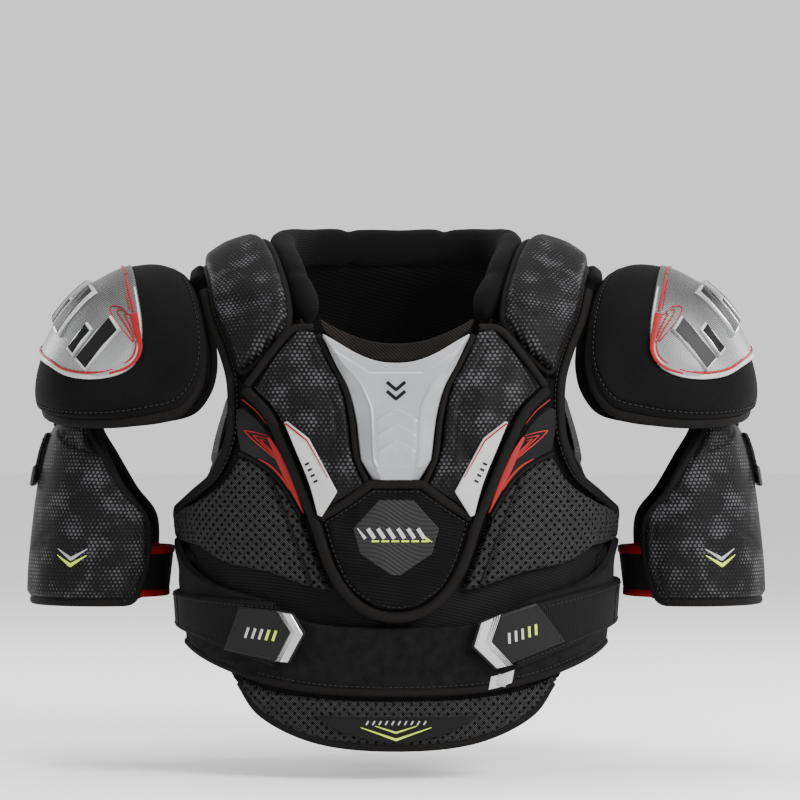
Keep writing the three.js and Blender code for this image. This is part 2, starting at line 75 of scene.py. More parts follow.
# Depths of the faces whose outlines are read in the front view.
GUSSET_FACE, NECK_FACE, BASE_FACE, LABEL_FACE = 12, 13, 14, 17
BIB_FACE, BADGE_FACE, ACCENT_FACE, PLATE_FACE = 21, 24, 25, 27
CAP_CENTRE = np.array([195.0, 0.0, -75.0])
CAP_OUT, CAP_IN, CAP_UP, CAP_FORE = 92, 100, 102, 96
CAP_PLAN_POWER, CAP_FACE_POWER = 1.8, 2.6
CAP_THICKNESS = 12
ARM_TOP_Z, ARM_X, ARM_LEAN, ARM_Y = -75, 216, 0.11, 5
ARM_RADII = [[-250, 48], [-160, 48], [-125, 45.5], [-105, 41.5], [-90, 34]]
BINDING_WIDTH = 7.0
STITCH_PITCH = 4.2


# ---------------------------------------------------------------- surfaces
def smooth_row(table, x):
    """Smooth values of a table's other columns at x, its first column rising."""
    t = np.asarray(table, float)
    x = np.asarray(x, float)
    i = np.clip(np.searchsorted(t[:, 0], x, side="right") - 1, 0, len(t) - 2)
    before = np.maximum(i - 1, 0)
    after = np.minimum(i + 2, len(t) - 1)
    span = (t[i + 1, 0] - t[i, 0])[..., None]
    u = np.clip((x[..., None] - t[i, 0][..., None]) / span, 0, 1)
    m1 = (t[i + 1, 1:] - t[before, 1:]) / (t[i + 1, 0] - t[before, 0])[..., None] * span
    m2 = (t[after, 1:] - t[i, 1:]) / (t[after, 0] - t[i, 0])[..., None] * span
    return ((2 * u**3 - 3 * u**2 + 1) * t[i, 1:] + (u**3 - 2 * u**2 + u) * m1
            + (3 * u**2 - 2 * u**3) * t[i + 1, 1:] + (u**3 - u**2) * m2)


def torso_field(p):
    a, f, g = np.moveaxis(smooth_row(SECTIONS, p[..., 2]), -1, 0)
    b = np.where(p[..., 1] < 0, f, g)
    return np.abs(p[..., 0] / a) ** SECTION_POWER + np.abs(p[..., 1] / b) ** SECTION_POWER - 1


def unit(v):
    return v / np.maximum(np.linalg.norm(v, axis=-1, keepdims=True), 1e-9)


def gradient(field, p, h=0.5):
    parts = [field(p + h * e) - field(p - h * e) for e in np.eye(3)]
    return unit(np.stack(parts, -1))


def skin(places):
    turn, z = np.radians(places[..., 0]), places[..., 1]
    a, f, g = np.moveaxis(smooth_row(SECTIONS, z), -1, 0)
    s, c = np.sin(turn), np.cos(turn)
    e = 2 / SECTION_POWER
    x = a * np.sign(s) * np.abs(s) ** e
    y = -np.where(c > 0, f, g) * np.sign(c) * np.abs(c) ** e
    return np.stack([x, y, z], -1)


def torso(places, depth):
    """Turn 0 is the front, 90 the wearer's left, 180 the back; then the height."""
    p = skin(places)
    return p + gradient(torso_field, p) * np.asarray(depth, float)[..., None]


def march(field, origin, direction, high):
    """Where rays leave a field's inside."""
    low = np.zeros(direction.shape[:-1])
    high = np.full(direction.shape[:-1], float(high))
    for _ in range(32):
        mid = (low + high) / 2
        inside = field(origin + direction * mid[..., None]) < 0
        low = np.where(inside, mid, low)
        high = np.where(inside, high, mid)
    return origin + direction * low[..., None]


def yoke(places, depth):
    """Over the shoulders: x across, then the angle, 0 forwards, 90 up, 180 backwards."""
    x, angle = places[..., 0], np.radians(places[..., 1])
    direction = np.stack([0 * x, -np.cos(angle), np.sin(angle)], -1)
    origin = np.stack([x, 0 * x, 0 * x + YOKE_CENTRE_Z], -1)
    p = march(torso_field, origin, direction, 220)
    return p + gradient(torso_field, p) * np.asarray(depth, float)[..., None]


def front(points, depth):
    """Places on the torso that are seen from the front at (x, z) when they lie at that depth."""
    goal = np.asarray(points, float)
    at = np.stack([np.abs(goal[..., 0]), goal[..., 1]], -1)
    for _ in range(10):
        a = smooth_row(SECTIONS, at[..., 1])[..., 0]
        share = np.clip(at[..., 0] / a, 0, 0.995)
        turn = np.degrees(np.arcsin(share ** (SECTION_POWER / 2)))
        places = np.stack([turn, at[..., 1]], -1)
        p = torso(places, np.full(turn.shape, float(depth)))
        at = at + np.stack([np.abs(goal[..., 0]) - p[..., 0], goal[..., 1] - p[..., 2]], -1)
    places[..., 0] *= np.sign(goal[..., 0])
    return places


def on_yoke(points, depth):
    p = skin(front(points, depth))
    return np.stack([p[..., 0], np.degrees(np.arctan2(p[..., 2] - YOKE_CENTRE_Z, -p[..., 1]))], -1)


def arm(places, depth):
    """Angle 0 is outward, -90 forwards, 180 inward; then the height."""
    angle, z = np.radians(places[..., 0]), places[..., 1]
    r = smooth_row(ARM_RADII, z)[..., 0] + depth
    x = ARM_X + ARM_LEAN * (ARM_TOP_Z - z)
    return np.stack([x + r * np.cos(angle), ARM_Y + r * np.sin(angle), z], -1)


def dome_field(v):
    rx = np.where(v[..., 0] > 0, CAP_OUT, CAP_IN)
    plan = np.abs(v[..., 0] / rx) ** CAP_PLAN_POWER + np.abs(v[..., 2] / CAP_UP) ** CAP_PLAN_POWER
    return plan ** (CAP_FACE_POWER / CAP_PLAN_POWER) + np.abs(v[..., 1] / CAP_FORE) ** CAP_FACE_POWER - 1


def dome(directions, depth):
    p = march(dome_field, np.zeros(3), unit(directions), 200)
    return p + gradient(dome_field, p) * np.asarray(depth, float)[..., None] + CAP_CENTRE


def dome_front(points, depth):
    """Directions on the cap's front face seen at (x, z) when the surface there lies at a depth."""
    goal = np.asarray(points, float)
    at = goal.copy()
    for _ in range(8):
        x, z = at[..., 0] - CAP_CENTRE[0], at[..., 1] - CAP_CENTRE[2]
        rx = np.where(x > 0, CAP_OUT, CAP_IN)
        plan = np.abs(x / rx) ** CAP_PLAN_POWER + np.abs(z / CAP_UP) ** CAP_PLAN_POWER
        rest = np.clip(1 - plan ** (CAP_FACE_POWER / CAP_PLAN_POWER), 0.002, 1)
        directions = np.stack([x, -CAP_FORE * rest ** (1 / CAP_FACE_POWER), z], -1)
        p = dome(directions, np.full(x.shape, float(depth)))
        at = at + (goal - p[..., [0, 2]]) * 0.9
    return directions


def polar(rim, pole):
    """Surface of the cap inside a rim: share of the way from pole to rim, then place round the rim."""
    loop = trace(rim, 240, closed=True) - CAP_CENTRE
    table = np.column_stack([np.linspace(0, 1, len(loop)), loop])

    def surface(places, depth):
        rim_way = np.stack([np.interp(places[..., 1] % 1, table[:, 0], table[:, k]) for k in (1, 2, 3)], -1)
        share = places[..., 0][..., None]
        return dome(np.asarray(pole, float) * (1 - share) + rim_way * share, depth)

    return surface


def inside_rim(surface, distance, start=0.0, end=1.0, count=240):
    """Places a distance in from the rim of a polar surface."""
    around = np.linspace(start, end, count)
    shares = np.linspace(0.5, 1, 60)
    places = np.stack(np.meshgrid(shares, around, indexing="ij"), -1)
    p = surface(places, np.zeros(places.shape[:2]))
    step = np.linalg.norm(np.diff(p, axis=0), axis=-1)
    left = np.concatenate([np.cumsum(step[::-1], 0)[::-1], np.zeros((1, count))])
    share = [np.interp(-distance, -left[:, k], shares) for k in range(count)]
    return np.stack([np.array(share), around], -1)


# ---------------------------------------------------------------- curves and grids
def trace(points, count, closed=False, sharp=()):
    """count points, evenly spaced, on a smooth curve through points; it may break at sharp ones."""
    p = np.asarray(points, float)
    if closed:
        p = np.vstack([p, p[:1]])
    cuts = [0, *sharp, len(p) - 1]
    runs = []
    for a, b in zip(cuts[:-1], cuts[1:]):
        run = p[a:b + 1]
        if closed:
            run = np.vstack([p[-3:-1], run, p[1:3]])
        step = np.sqrt(np.maximum(np.linalg.norm(np.diff(run, axis=0), axis=1), 1e-6))
        s = np.concatenate([[0], np.cumsum(step)])
        ends = (s[2], s[-3]) if closed else (s[0], s[-1])
        dense = np.linspace(*ends, 24 * len(run))
        runs.append(smooth_row(np.column_stack([s, run]), dense))
    line = np.vstack(runs)
    far = np.concatenate([[0], np.cumsum(np.linalg.norm(np.diff(line, axis=0), axis=1))])
    at = np.linspace(0, far[-1], count)
    return np.stack([np.interp(at, far, line[:, k]) for k in range(line.shape[1])], -1)


def spacing(count, ease=0.3):
    s = np.linspace(0, 1, count + 1)
    return (1 - ease) * s + ease * (1 - np.cos(np.pi * s)) / 2


def weave(edges, rows, cols, ease=0.3):
    """Grid of places between edges that run the same way."""
    t = spacing(rows, ease)
    lines = []
    for edge in edges:
        edge = np.asarray(edge, float)
        at = np.linspace(0, 1, len(edge))
        lines.append(np.stack([np.interp(t, at, edge[:, k]) for k in range(edge.shape[1])], -1))
    stack = np.stack(lines, 1)
    s = spacing(cols, ease)
    at = np.linspace(0, 1, len(edges))
    table = np.column_stack([at, np.moveaxis(stack, 1, 0).reshape(len(edges), -1)])
    if len(edges) == 2:
        flat = np.stack([np.interp(s, at, table[:, 1 + k]) for k in range(table.shape[1] - 1)], -1)
    else:
        flat = smooth_row(table, s)
    return np.moveaxis(flat.reshape(cols + 1, rows + 1, -1), 0, 1)


def lengths(grid, axis):
    """Distance of each grid point from both ends along one axis."""
    step = np.linalg.norm(np.diff(grid, axis=axis), axis=-1)
    pad_shape = list(step.shape)
    pad_shape[axis] = 1
    far = np.concatenate([np.zeros(pad_shape), np.cumsum(step, axis=axis)], axis=axis)
    total = np.take(far, [-1], axis=axis)
    return far, total - far


def grow(values, rows, cols):
    """A coarse grid's values on a finer grid."""
    r, c = values.shape[:2]
    i = np.linspace(0, r - 1, rows)
    j = np.linspace(0, c - 1, cols)
    i0 = np.minimum(i.astype(int), r - 2)
    j0 = np.minimum(j.astype(int), c - 2)
    u = (i - i0)[:, None, None]
    v = (j - j0)[None, :, None]
    a = values[i0][:, j0] * (1 - v) + values[i0][:, j0 + 1] * v
    b = values[i0 + 1][:, j0] * (1 - v) + values[i0 + 1][:, j0 + 1] * v
    return a * (1 - u) + b * u


# ---------------------------------------------------------------- mesh building
def make(name, points, faces, finish, body, uv=None, mirror=1, weld=False, crisp=None, lined_from=None):
    """A mesh object of the assembly, riding on a CAD body. uv is in millimetres on the fabric.

    Faces whose points all come from lined_from on get the lining instead of the finish.
    """
    points = np.array(points, float)
    points[:, 0] *= mirror
    faces = [list(f)[::mirror] for f in faces]
    mesh = bpy.data.meshes.new(name)
    mesh.from_pydata((points * MM).tolist(), [], faces)
    if uv is not None:
        layer = mesh.uv_layers.new(name="fabric")
        corner = np.zeros(len(mesh.loops), np.int32)
        mesh.loops.foreach_get("vertex_index", corner)
        layer.data.foreach_set("uv", (np.asarray(uv, float)[corner] * MM).astype(np.float32).ravel())
    mesh.validate()
    mesh.shade_smooth()
    if crisp:
        mesh.set_sharp_from_angle(angle=math.radians(crisp))
    mesh.materials.append(finish)
    if lined_from:
        mesh.materials.append(LINER_CLOTH)
        corners = np.zeros(len(mesh.loops), np.int32)
        mesh.loops.foreach_get("vertex_index", corners)
        lowest = np.minimum.reduceat(corners, [p.loop_start for p in mesh.polygons])
        mesh.polygons.foreach_set("material_index", (lowest >= lined_from).astype(np.int32))
    obj = bpy.data.objects.new(name, mesh)
    bpy.context.scene.collection.objects.link(obj)
    if weld:
        bm = bmesh.new()
        bm.from_mesh(mesh)
        bmesh.ops.remove_doubles(bm, verts=bm.verts, dist=0.02 * MM)
        bmesh.ops.recalc_face_normals(bm, faces=bm.faces)
        bm.to_mesh(mesh)
        bm.free()
    if isinstance(body, str):
        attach(obj, body)
    return obj


def grid_faces(rows, cols, first=0):
    i, j = np.meshgrid(np.arange(rows), np.arange(cols), indexing="ij")
    a = first + (i * (cols + 1) + j).ravel()
    return np.stack([a, a + cols + 1, a + cols + 2, a + 1], -1)


def shell(outer, inner, loop=False):
    """Closed solid between two grids of the same size."""
    rows, cols = outer.shape[0] - 1, outer.shape[1] - 1
    size = (rows + 1) * (cols + 1)
    faces = [grid_faces(rows, cols), grid_faces(rows, cols, size)[:, ::-1]]
    index = np.arange(size).reshape(rows + 1, cols + 1)
    borders = [index[:, -1]] if loop else [index[:, 0][::-1], index[:, -1], index[0], index[-1][::-1]]
    for edge in borders:
        a, b = edge[:-1], edge[1:]
        faces.append(np.stack([a, b, b + size, a + size], -1)[:, ::-1])
    points = np.vstack([outer.reshape(-1, 3), inner.reshape(-1, 3)])
    faces = np.vstack(faces)
    p = points[faces]
    volume = np.einsum("ij,ij->i", p[:, 0], np.cross(p[:, 1], p[:, 2]) + np.cross(p[:, 2], p[:, 3])).sum()
    return points, faces if volume > 0 else faces[:, ::-1]


def swell(grid, pinned, pressure, frames=14, stiff=6.0):
    """Where a sewn cover goes when it is blown up by its foam: Blender's cloth on the cover's grid."""
    rows, cols = grid.shape[0] - 1, grid.shape[1] - 1
    mesh = bpy.data.meshes.new("swell")
    mesh.from_pydata((grid.reshape(-1, 3) * MM).tolist(), [], grid_faces(rows, cols).tolist())
    mesh.update()
    centre = grid.reshape(-1, 3).mean(0)
    normals = np.array([v.normal for v in mesh.vertices])
    if (normals * (grid.reshape(-1, 3) - np.array([0, 0, centre[2]]))).sum() < 0:
        mesh.flip_normals()
    obj = bpy.data.objects.new("swell", mesh)
    bpy.context.scene.collection.objects.link(obj)
    group = obj.vertex_groups.new(name="sewn")
    group.add(np.flatnonzero(pinned.ravel()).tolist(), 1.0, "ADD")
    cloth = obj.modifiers.new("cloth", "CLOTH")
    settings = cloth.settings
    settings.quality = 5
    settings.mass = 0.3
    settings.tension_stiffness = stiff
    settings.compression_stiffness = stiff
    settings.shear_stiffness = stiff / 2
    settings.bending_stiffness = 0.4
    settings.use_pressure = True
    settings.uniform_pressure_force = pressure
    settings.vertex_group_mass = "sewn"
    settings.effector_weights.gravity = 0
    settings.shrink_min = -0.015
    cloth.collision_settings.use_collision = False
    scene = bpy.context.scene
    for number in range(1, frames + 1):
        scene.frame_set(number)
    moved = obj.evaluated_get(bpy.context.evaluated_depsgraph_get())
    out = np.array([v.co for v in moved.data.vertices], float).reshape(grid.shape) / MM
    scene.frame_set(1)
    bpy.data.objects.remove(obj)
    return out - grid


def pad(name, surface, edges, depths, finish, body, *, rows=60, cols=36, roll=4.0, crown=0.0,
        relief=None, cloth=0.0, cap=4.0, seams=(), side=1, uv_of=None, loop=False, fill=0.6,
        held=None, stands_for=(), ease=0.3):
    """A piece on a surface, between edges: rolled rim, optional swell, seams and relief.

    It is a padded shell lined inside with the lining cloth, unless held is given or fill is None, when it has
    one finish all round.
    """
    places = weave(edges, rows, cols, ease)
    flat = surface(places, np.full(places.shape[:2], float(depths[1])))
    across = lengths(flat, 1)
    along = lengths(flat, 0)
    near_a = across[1] if loop else np.minimum(*across)
    near_b = np.full(near_a.shape, 1e3) if loop else np.minimum(*along)
    qa = np.clip(1 - near_a / roll, 0, 1)
    qb = np.clip(1 - near_b / roll, 0, 1)
    lift = np.sqrt(np.clip(1 - qa**2 - qb**2, 0, 1))
    reach = np.minimum(near_a, near_b)
    depth = depths[0] + 0.5 + (depths[1] - depths[0] - 0.5) * lift
    depth = depth + crown * (1 - np.exp(-((reach / 18.0) ** 2)))
    for line, width, dip in seams:
        gap = np.min(np.linalg.norm(flat[:, :, None] - line[None, None], axis=-1), axis=-1)
        depth = depth - dip * np.exp(-((gap / width) ** 2)) * lift
    uv = (uv_of or flat_uv)(places, flat)
    if relief is not None:
        depth = depth + relief(uv, flat, reach) * lift
    outer = surface(places, depth)
    if cloth:
        r, c = max(rows // 2, 8), max(cols // 2, 6)
        coarse = grow(surface(places, depth), r + 1, c + 1)
        rim = grow(reach[..., None], r + 1, c + 1)[..., 0]
        pinned = rim < roll
        for line, width, _ in seams:
            gap = np.min(np.linalg.norm(coarse[:, :, None] - line[None, None], axis=-1), axis=-1)
            pinned |= gap < width
        pinned[[0, -1]] = True
        pinned[:, [0, -1]] = True
        push = swell(coarse, pinned, cloth)
        size = np.linalg.norm(push, axis=-1, keepdims=True)
        push = push * np.minimum(1, cap / np.maximum(size, 1e-6))
        outer = outer + grow(push, rows + 1, cols + 1)
    inner = surface(places, np.full(places.shape[:2], float(depths[0])))
    points, faces = shell(outer, inner, loop)
    obj = make(name, points, faces, finish, body, uv=np.vstack([uv.reshape(-1, 2)] * 2), mirror=side,
               weld=loop, lined_from=None if held or fill is None else outer.shape[0] * outer.shape[1])
    if held:
        width = float(np.mean(across[0][:, -1])) * MM
    if stands_for:
        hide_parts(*stands_for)
    return obj


def flat_uv(places, flat):
    return flat[..., [0, 2]]


ARC_TURNS = np.linspace(-180, 360, 541)
_section = skin(np.stack([ARC_TURNS, np.full(541, -150.0)], -1))
ARC = np.concatenate([[0], np.cumsum(np.linalg.norm(np.diff(_section, axis=0), axis=1))])
ARC -= np.interp(0, ARC_TURNS, ARC)


def torso_uv(places, flat):
    return np.stack([np.interp(places[..., 0], ARC_TURNS, ARC), flat[..., 2]], -1)


def yoke_uv(places, flat):
    return np.stack([flat[..., 0], np.radians(places[..., 1]) * 95], -1)


def arm_uv(places, flat):
    return np.stack([np.radians(places[..., 0]) * 60, flat[..., 2]], -1)


def polar_uv(places, flat):
    turn = places[..., 1] * 2 * np.pi
    return np.stack([places[..., 0] * 100 * np.cos(turn), places[..., 0] * 100 * np.sin(turn)], -1)


# ---------------------------------------------------------------- trim: bindings, stripes, stitches
def on(surface, places, depth):
    """Points at a depth on a surface, with the surface's outward directions there."""
    places = np.asarray(places, float)
    d = np.full(places.shape[:-1], float(depth))
    p = surface(places, d)
    return p, unit(surface(places, d + 1.0) - p)


ROUND = [(math.cos(a), math.sin(a)) for a in np.linspace(0, 2 * math.pi, 12, endpoint=False)]
TAPE_SECTION = [(-1, -0.6), (-1.02, 0.1), (-0.9, 0.62), (-0.55, 0.95), (0, 1.05), (0.55, 0.95),
                (0.9, 0.62), (1.02, 0.1), (1, -0.6)]
STRIPE_SECTION = [(-1, -1), (-1, 0.4), (-0.8, 1), (0.8, 1), (1, 0.4), (1, -1)]


def sweep(centres, ups, half_width, half_height, section=ROUND, closed=False):
    """A section swept along a line, its height along ups. Returns points, faces and uv."""
    centres = np.asarray(centres, float)
    n = len(centres)
    ahead = np.roll(centres, -1, 0) - np.roll(centres, 1, 0)
    if not closed:
        ahead[0], ahead[-1] = centres[1] - centres[0], centres[-1] - centres[-2]
    ahead = unit(ahead)
    ups = unit(ups - ahead * np.sum(ups * ahead, -1, keepdims=True))
    sides = np.cross(ahead, ups)
    w = np.broadcast_to(np.asarray(half_width, float), (n,))[:, None, None]
    h = np.broadcast_to(np.asarray(half_height, float), (n,))[:, None, None]
    sec = np.asarray(section, float)
    points = (centres[:, None] + sides[:, None] * sec[None, :, :1] * w
              + ups[:, None] * sec[None, :, 1:] * h).reshape(-1, 3)
    k = len(sec)
    far = np.concatenate([[0], np.cumsum(np.linalg.norm(np.diff(centres, axis=0), axis=1))])
    around = np.linspace(0, 1, k)
    uv = np.stack(np.broadcast_arrays(far[:, None], around[None] * 2 * w[:, 0]), -1).reshape(-1, 2)
    faces = []
    for i in range(n if closed else n - 1):
        a, b = i * k, ((i + 1) % n) * k
        faces += [[a + j, a + (j + 1) % k, b + (j + 1) % k, b + j] for j in range(k)]
    if not closed:
        faces.append(list(range(k))[::-1])
        faces.append([(n - 1) * k + j for j in range(k)])
    return points, faces, uv


def together(parts):
    """Several swept or built parts as one set of points, faces and uv."""
    points, faces, uvs, first = [], [], [], 0
    for p, f, uv in parts:
        points.append(p)
        faces += [[v + first for v in face] for face in f]
        uvs.append(uv)
        first += len(p)
    return np.vstack(points), faces, np.vstack(uvs)


def trim(name, parts, finish, body, side=1, stands_for=(), crisp=None):
    points, faces, uv = together(parts)
    obj = make(name, points, faces, finish, body, uv=uv, mirror=side, crisp=crisp)
    if stands_for:
        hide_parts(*stands_for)
    return obj


def binding(surface, places, depth, width=BINDING_WIDTH, height=2.6, closed=False):
    p, up = on(surface, places, depth)
    return sweep(p, up, width / 2, height, TAPE_SECTION, closed)


def stripe(surface, places, depth, width, height=0.35):
    p, up = on(surface, places, depth)
    return sweep(p, up, np.asarray(width) / 2, height, STRIPE_SECTION)


def tape_line(name, body, surface, places, *size, side=1, closed=False, stands_for=()):
    """One length of binding tape, sewn along a line of places."""
    part = binding(surface, places, *size, closed=closed)
    return trim(name, [part], TAPE, body, side, stands_for)


def thread_line(name, body, surface, places, *size, side=1):
    """One row of lockstitch along a line of places."""
    return trim(name, [stitches(surface, places, *size)], THREAD, body, side)


def stitches(surface, places, depth, pitch=STITCH_PITCH, length=2.7, thick=0.42):
    """Lockstitch beads along a line of places."""
    p, up = on(surface, places, depth)
    far = np.concatenate([[0], np.cumsum(np.linalg.norm(np.diff(p, axis=0), axis=1))])
    at = np.arange(pitch / 2, far[-1], pitch)
    centre = np.stack([np.interp(at, far, p[:, k]) for k in range(3)], -1)
    ahead = unit(np.stack([np.interp(at + 1, far, p[:, k]) - np.interp(at - 1, far, p[:, k])
                           for k in range(3)], -1))
    ups = unit(np.stack([np.interp(at, far, up[:, k]) for k in range(3)], -1))
    sides = np.cross(ahead, ups)
    rings = [(-0.5, 0.25, -0.4), (-0.3, 0.9, 0), (0.3, 0.9, 0), (0.5, 0.25, -0.4)]
    bead = []
    for s, r, sink in rings:
        for a in np.linspace(0, 2 * np.pi, 6, endpoint=False):
            bead.append((s * length, r * thick * math.cos(a), thick * (r * math.sin(a) + sink)))
    bead = np.array(bead)
    points = (centre[:, None] + ahead[:, None] * bead[None, :, :1] + sides[:, None] * bead[None, :, 1:2]
              + ups[:, None] * bead[None, :, 2:]).reshape(-1, 3)
    faces = []
    for i in range(len(at)):
        a = i * 24
        for ring in range(3):
            for j in range(6):
                q = a + ring * 6
                faces.append([q + j, q + (j + 1) % 6, q + 6 + (j + 1) % 6, q + 6 + j])
        faces.append([a + j for j in range(6)][::-1])
        faces.append([a + 18 + j for j in range(6)])
    return points, faces, np.zeros((len(points), 2))


def print_lines(surface, seen, print_table, depth, flip_y=False):
    """Stripes of changing width from a table of front-view lines."""
    parts = []
    for points, sharp, widths in print_table:
        count = 14 * len(points)
        line = trace(points, count, sharp=sharp)
        places = seen(line)
        if flip_y:
            places = places * np.array([1, -1, 1])
        knots = np.linspace(0, 1, len(widths))
        parts.append(stripe(surface, places, depth, np.interp(np.linspace(0, 1, count), knots, widths), 0.3))
    return parts


def plate_patch(surface, outline_rows, depth, thickness, rows=24, cols=16, edge=0.8):
    """A thin closed patch with softened edges. Returns points, faces and uv."""
    places = weave(outline_rows, rows, cols, 0.5)
    flat = surface(places, np.full(places.shape[:2], float(depth)))
    near = np.minimum(np.minimum(*lengths(flat, 0)), np.minimum(*lengths(flat, 1)))
    lift = np.sqrt(np.clip(1 - np.clip(1 - near / edge, 0, 1) ** 2, 0, 1))
    outer = surface(places, depth + thickness * (0.3 + 0.7 * lift))
    inner = surface(places, np.full(places.shape[:2], depth - 0.4))
    points, faces = shell(outer, inner)
    return points, faces.tolist(), np.vstack([flat[..., [0, 2]].reshape(-1, 2)] * 2)


# ---------------------------------------------------------------- materials
class Shader:
    """Small builder for a procedural Principled material."""

    def __init__(self, name, color, roughness=0.8, **sockets):
        self.material = bpy.data.materials.new(name)
        self.material.use_nodes = True
        self.tree = self.material.node_tree
        self.bsdf = self.tree.nodes["Principled BSDF"]
        self.bsdf.inputs["Base Color"].default_value = (*color, 1)
        self.bsdf.inputs["Roughness"].default_value = roughness
        for key, value in sockets.items():
            self.bsdf.inputs[key.replace("_", " ")].default_value = value

    def node(self, kind, **settings):
        node = self.tree.nodes.new(kind)
        for key, value in settings.items():
            setattr(node, key, value)
        return node

    def link(self, value, socket):
        if isinstance(value, bpy.types.NodeSocket):
            self.tree.links.new(value, socket)
        else:
            socket.default_value = value

    def math(self, operation, *values):
        node = self.node("ShaderNodeMath", operation=operation)
        for value, socket in zip(values, node.inputs):
            self.link(value, socket)
        return node.outputs[0]

    def vector(self, operation, *values):
        node = self.node("ShaderNodeVectorMath", operation=operation)
        for value, socket in zip(values, node.inputs):
            self.link(value, socket)
        return node.outputs["Value" if operation in ("LENGTH", "DISTANCE", "DOT_PRODUCT") else "Vector"]

    def fabric(self):
        """Coordinates on the cloth, in millimetres."""
        uv = self.node("ShaderNodeUVMap", uv_map="fabric")
        return self.vector("MULTIPLY", uv.outputs[0], (1000, 1000, 1000))

    def solid(self):
        """Coordinates in the object's own space, in millimetres."""
        at = self.node("ShaderNodeTexCoord")
        return self.vector("MULTIPLY", at.outputs["Object"], (1000, 1000, 1000))

    def noise(self, at, scale, detail=2.0, rough=0.5):
        node = self.node("ShaderNodeTexNoise")
        self.link(at, node.inputs["Vector"])
        node.inputs["Scale"].default_value = scale
        node.inputs["Detail"].default_value = detail
        node.inputs["Roughness"].default_value = rough
        return node.outputs["Fac"]

    def ramp(self, value, low, high, out_low=0.0, out_high=1.0):
        node = self.node("ShaderNodeMapRange")
        node.interpolation_type = "SMOOTHSTEP"
        for v, socket in zip((value, low, high, out_low, out_high), node.inputs):
            self.link(v, socket)
        return node.outputs[0]

    def wave(self, at, direction, pitch):
        """Sine ridges from 0 to 1 across a direction."""
        turn = self.vector("DOT_PRODUCT", at, tuple(v * 2 * math.pi / pitch for v in direction))
        return self.math("MULTIPLY_ADD", self.math("SINE", turn), 0.5, 0.5)

    def mix(self, share, a, b):
        node = self.node("ShaderNodeMix", data_type="RGBA")
        self.link(share, node.inputs["Factor"])
        for value, socket in ((a, node.inputs[6]), (b, node.inputs[7])):
            self.link((*value, 1) if isinstance(value, tuple) else value, socket)
        return node.outputs[2]

    def color(self, socket):
        self.link(socket, self.bsdf.inputs["Base Color"])

    def bump(self, height, strength=0.4, distance=0.3):
        node = self.node("ShaderNodeBump")
        node.inputs["Strength"].default_value = strength
        node.inputs["Distance"].default_value = distance * MM
        self.link(height, node.inputs["Height"])
        self.link(node.outputs[0], self.bsdf.inputs["Normal"])


def knit(name, color, light, pitch=1.9, slant=0.8, rough=0.9, strength=0.6):
    """Fine twill knit: slanted ribs crossed by small loops, with slow changes of tone."""
    s = Shader(name, color, rough, Sheen_Weight=0.01, Sheen_Roughness=0.6, Specular_IOR_Level=0.05)
    at = s.solid()
    ribs = s.wave(at, (slant, 0.25, 1.0), pitch)
    loops = s.wave(at, (1.0, 0.3, -slant), pitch * 0.8)
    weave_height = s.math("MULTIPLY", ribs, s.math("MULTIPLY_ADD", loops, 0.5, 0.5))
    tone = s.noise(at, 0.02, 3)
    s.color(s.mix(s.math("MULTIPLY", weave_height, s.ramp(tone, 0.3, 0.75, 0.35, 1.0)), color, light))
    s.bump(weave_height, strength, 0.4)
    return s.material


def print_fabric():
    """Black cover printed with grey round dots on a triangular lattice, in drifting patches."""
    base, dot = (0.002, 0.002, 0.0022), (0.055, 0.055, 0.059)
    s = Shader("dot_print", base, 0.6, Specular_IOR_Level=0.08)
    at = s.fabric()
    pitch = 3.3
    cell = (pitch, pitch * math.sqrt(3), 1.0)
    share = s.vector("DIVIDE", at, cell)

    def to_dot(offset):
        part = s.vector("FRACTION", s.vector("ADD", share, (offset, offset, 0.0)))
        away = s.vector("MULTIPLY", s.vector("SUBTRACT", part, (0.5, 0.5, 0.0)), cell)
        return s.vector("LENGTH", s.vector("MULTIPLY", away, (1.0, 1.0, 0.0)))

    distance = s.math("MINIMUM", to_dot(0.0), to_dot(0.5))
    patch = s.ramp(s.noise(at, 0.04, 4, 0.6), 0.4, 0.66)
    radius = s.math("MULTIPLY_ADD", patch, 0.7, 0.5)
    inside = s.ramp(s.math("SUBTRACT", radius, distance), -0.1, 0.25)
    grain = s.noise(at, 2.2, 2)
    shown = s.math("MULTIPLY", inside, s.math("MULTIPLY_ADD", patch, 0.75, 0.25))
    s.color(s.mix(shown, s.mix(grain, base, (0.005, 0.005, 0.0053)), dot))
    s.bump(s.math("MULTIPLY_ADD", inside, 0.6, s.math("MULTIPLY", grain, 0.5)), 0.35, 0.3)
    return s.material


MESH_PITCH = 7.2


def mesh_fabric():
    """Spacer mesh: grey and black threads, lighter where the fine threads cross as painted highlight, between
    holes painted near black with painted shade.
    """
    s = Shader("spacer_mesh", (0.02, 0.02, 0.02), 0.8, Specular_IOR_Level=0.06)
    at = s.fabric()
    a = s.wave(at, (1.0, 1.0, 0.0), MESH_PITCH)
    b = s.wave(at, (1.0, -1.0, 0.0), MESH_PITCH)
    hole = s.ramp(s.math("MULTIPLY", a, b), 0.35, 0.7)
    fine = s.math("MULTIPLY", s.wave(at, (1.0, 1.0, 0.0), 1.8), s.wave(at, (1.0, -1.0, 0.0), 1.8))
    # Grey where the fine threads cross is grey thread with a painted highlight laid on it.
    thread_and_highlight = s.mix(s.ramp(fine, 0.1, 0.7), (0.002, 0.002, 0.002), (0.085, 0.085, 0.083))
    tone = s.mix(s.ramp(s.noise(at, 0.4, 3), 0.35, 0.65), (0.006, 0.006, 0.006), thread_and_highlight)
    # The holes are painted near black: the dark mesh seen through them, deepened by painted shade.
    s.color(s.mix(hole, s.mix(0.45, tone, thread_and_highlight), (0.0015, 0.0015, 0.0015)))
    s.bump(s.math("SUBTRACT", s.math("MULTIPLY", fine, 0.6), hole), 0.8, 0.6)
    return s.material


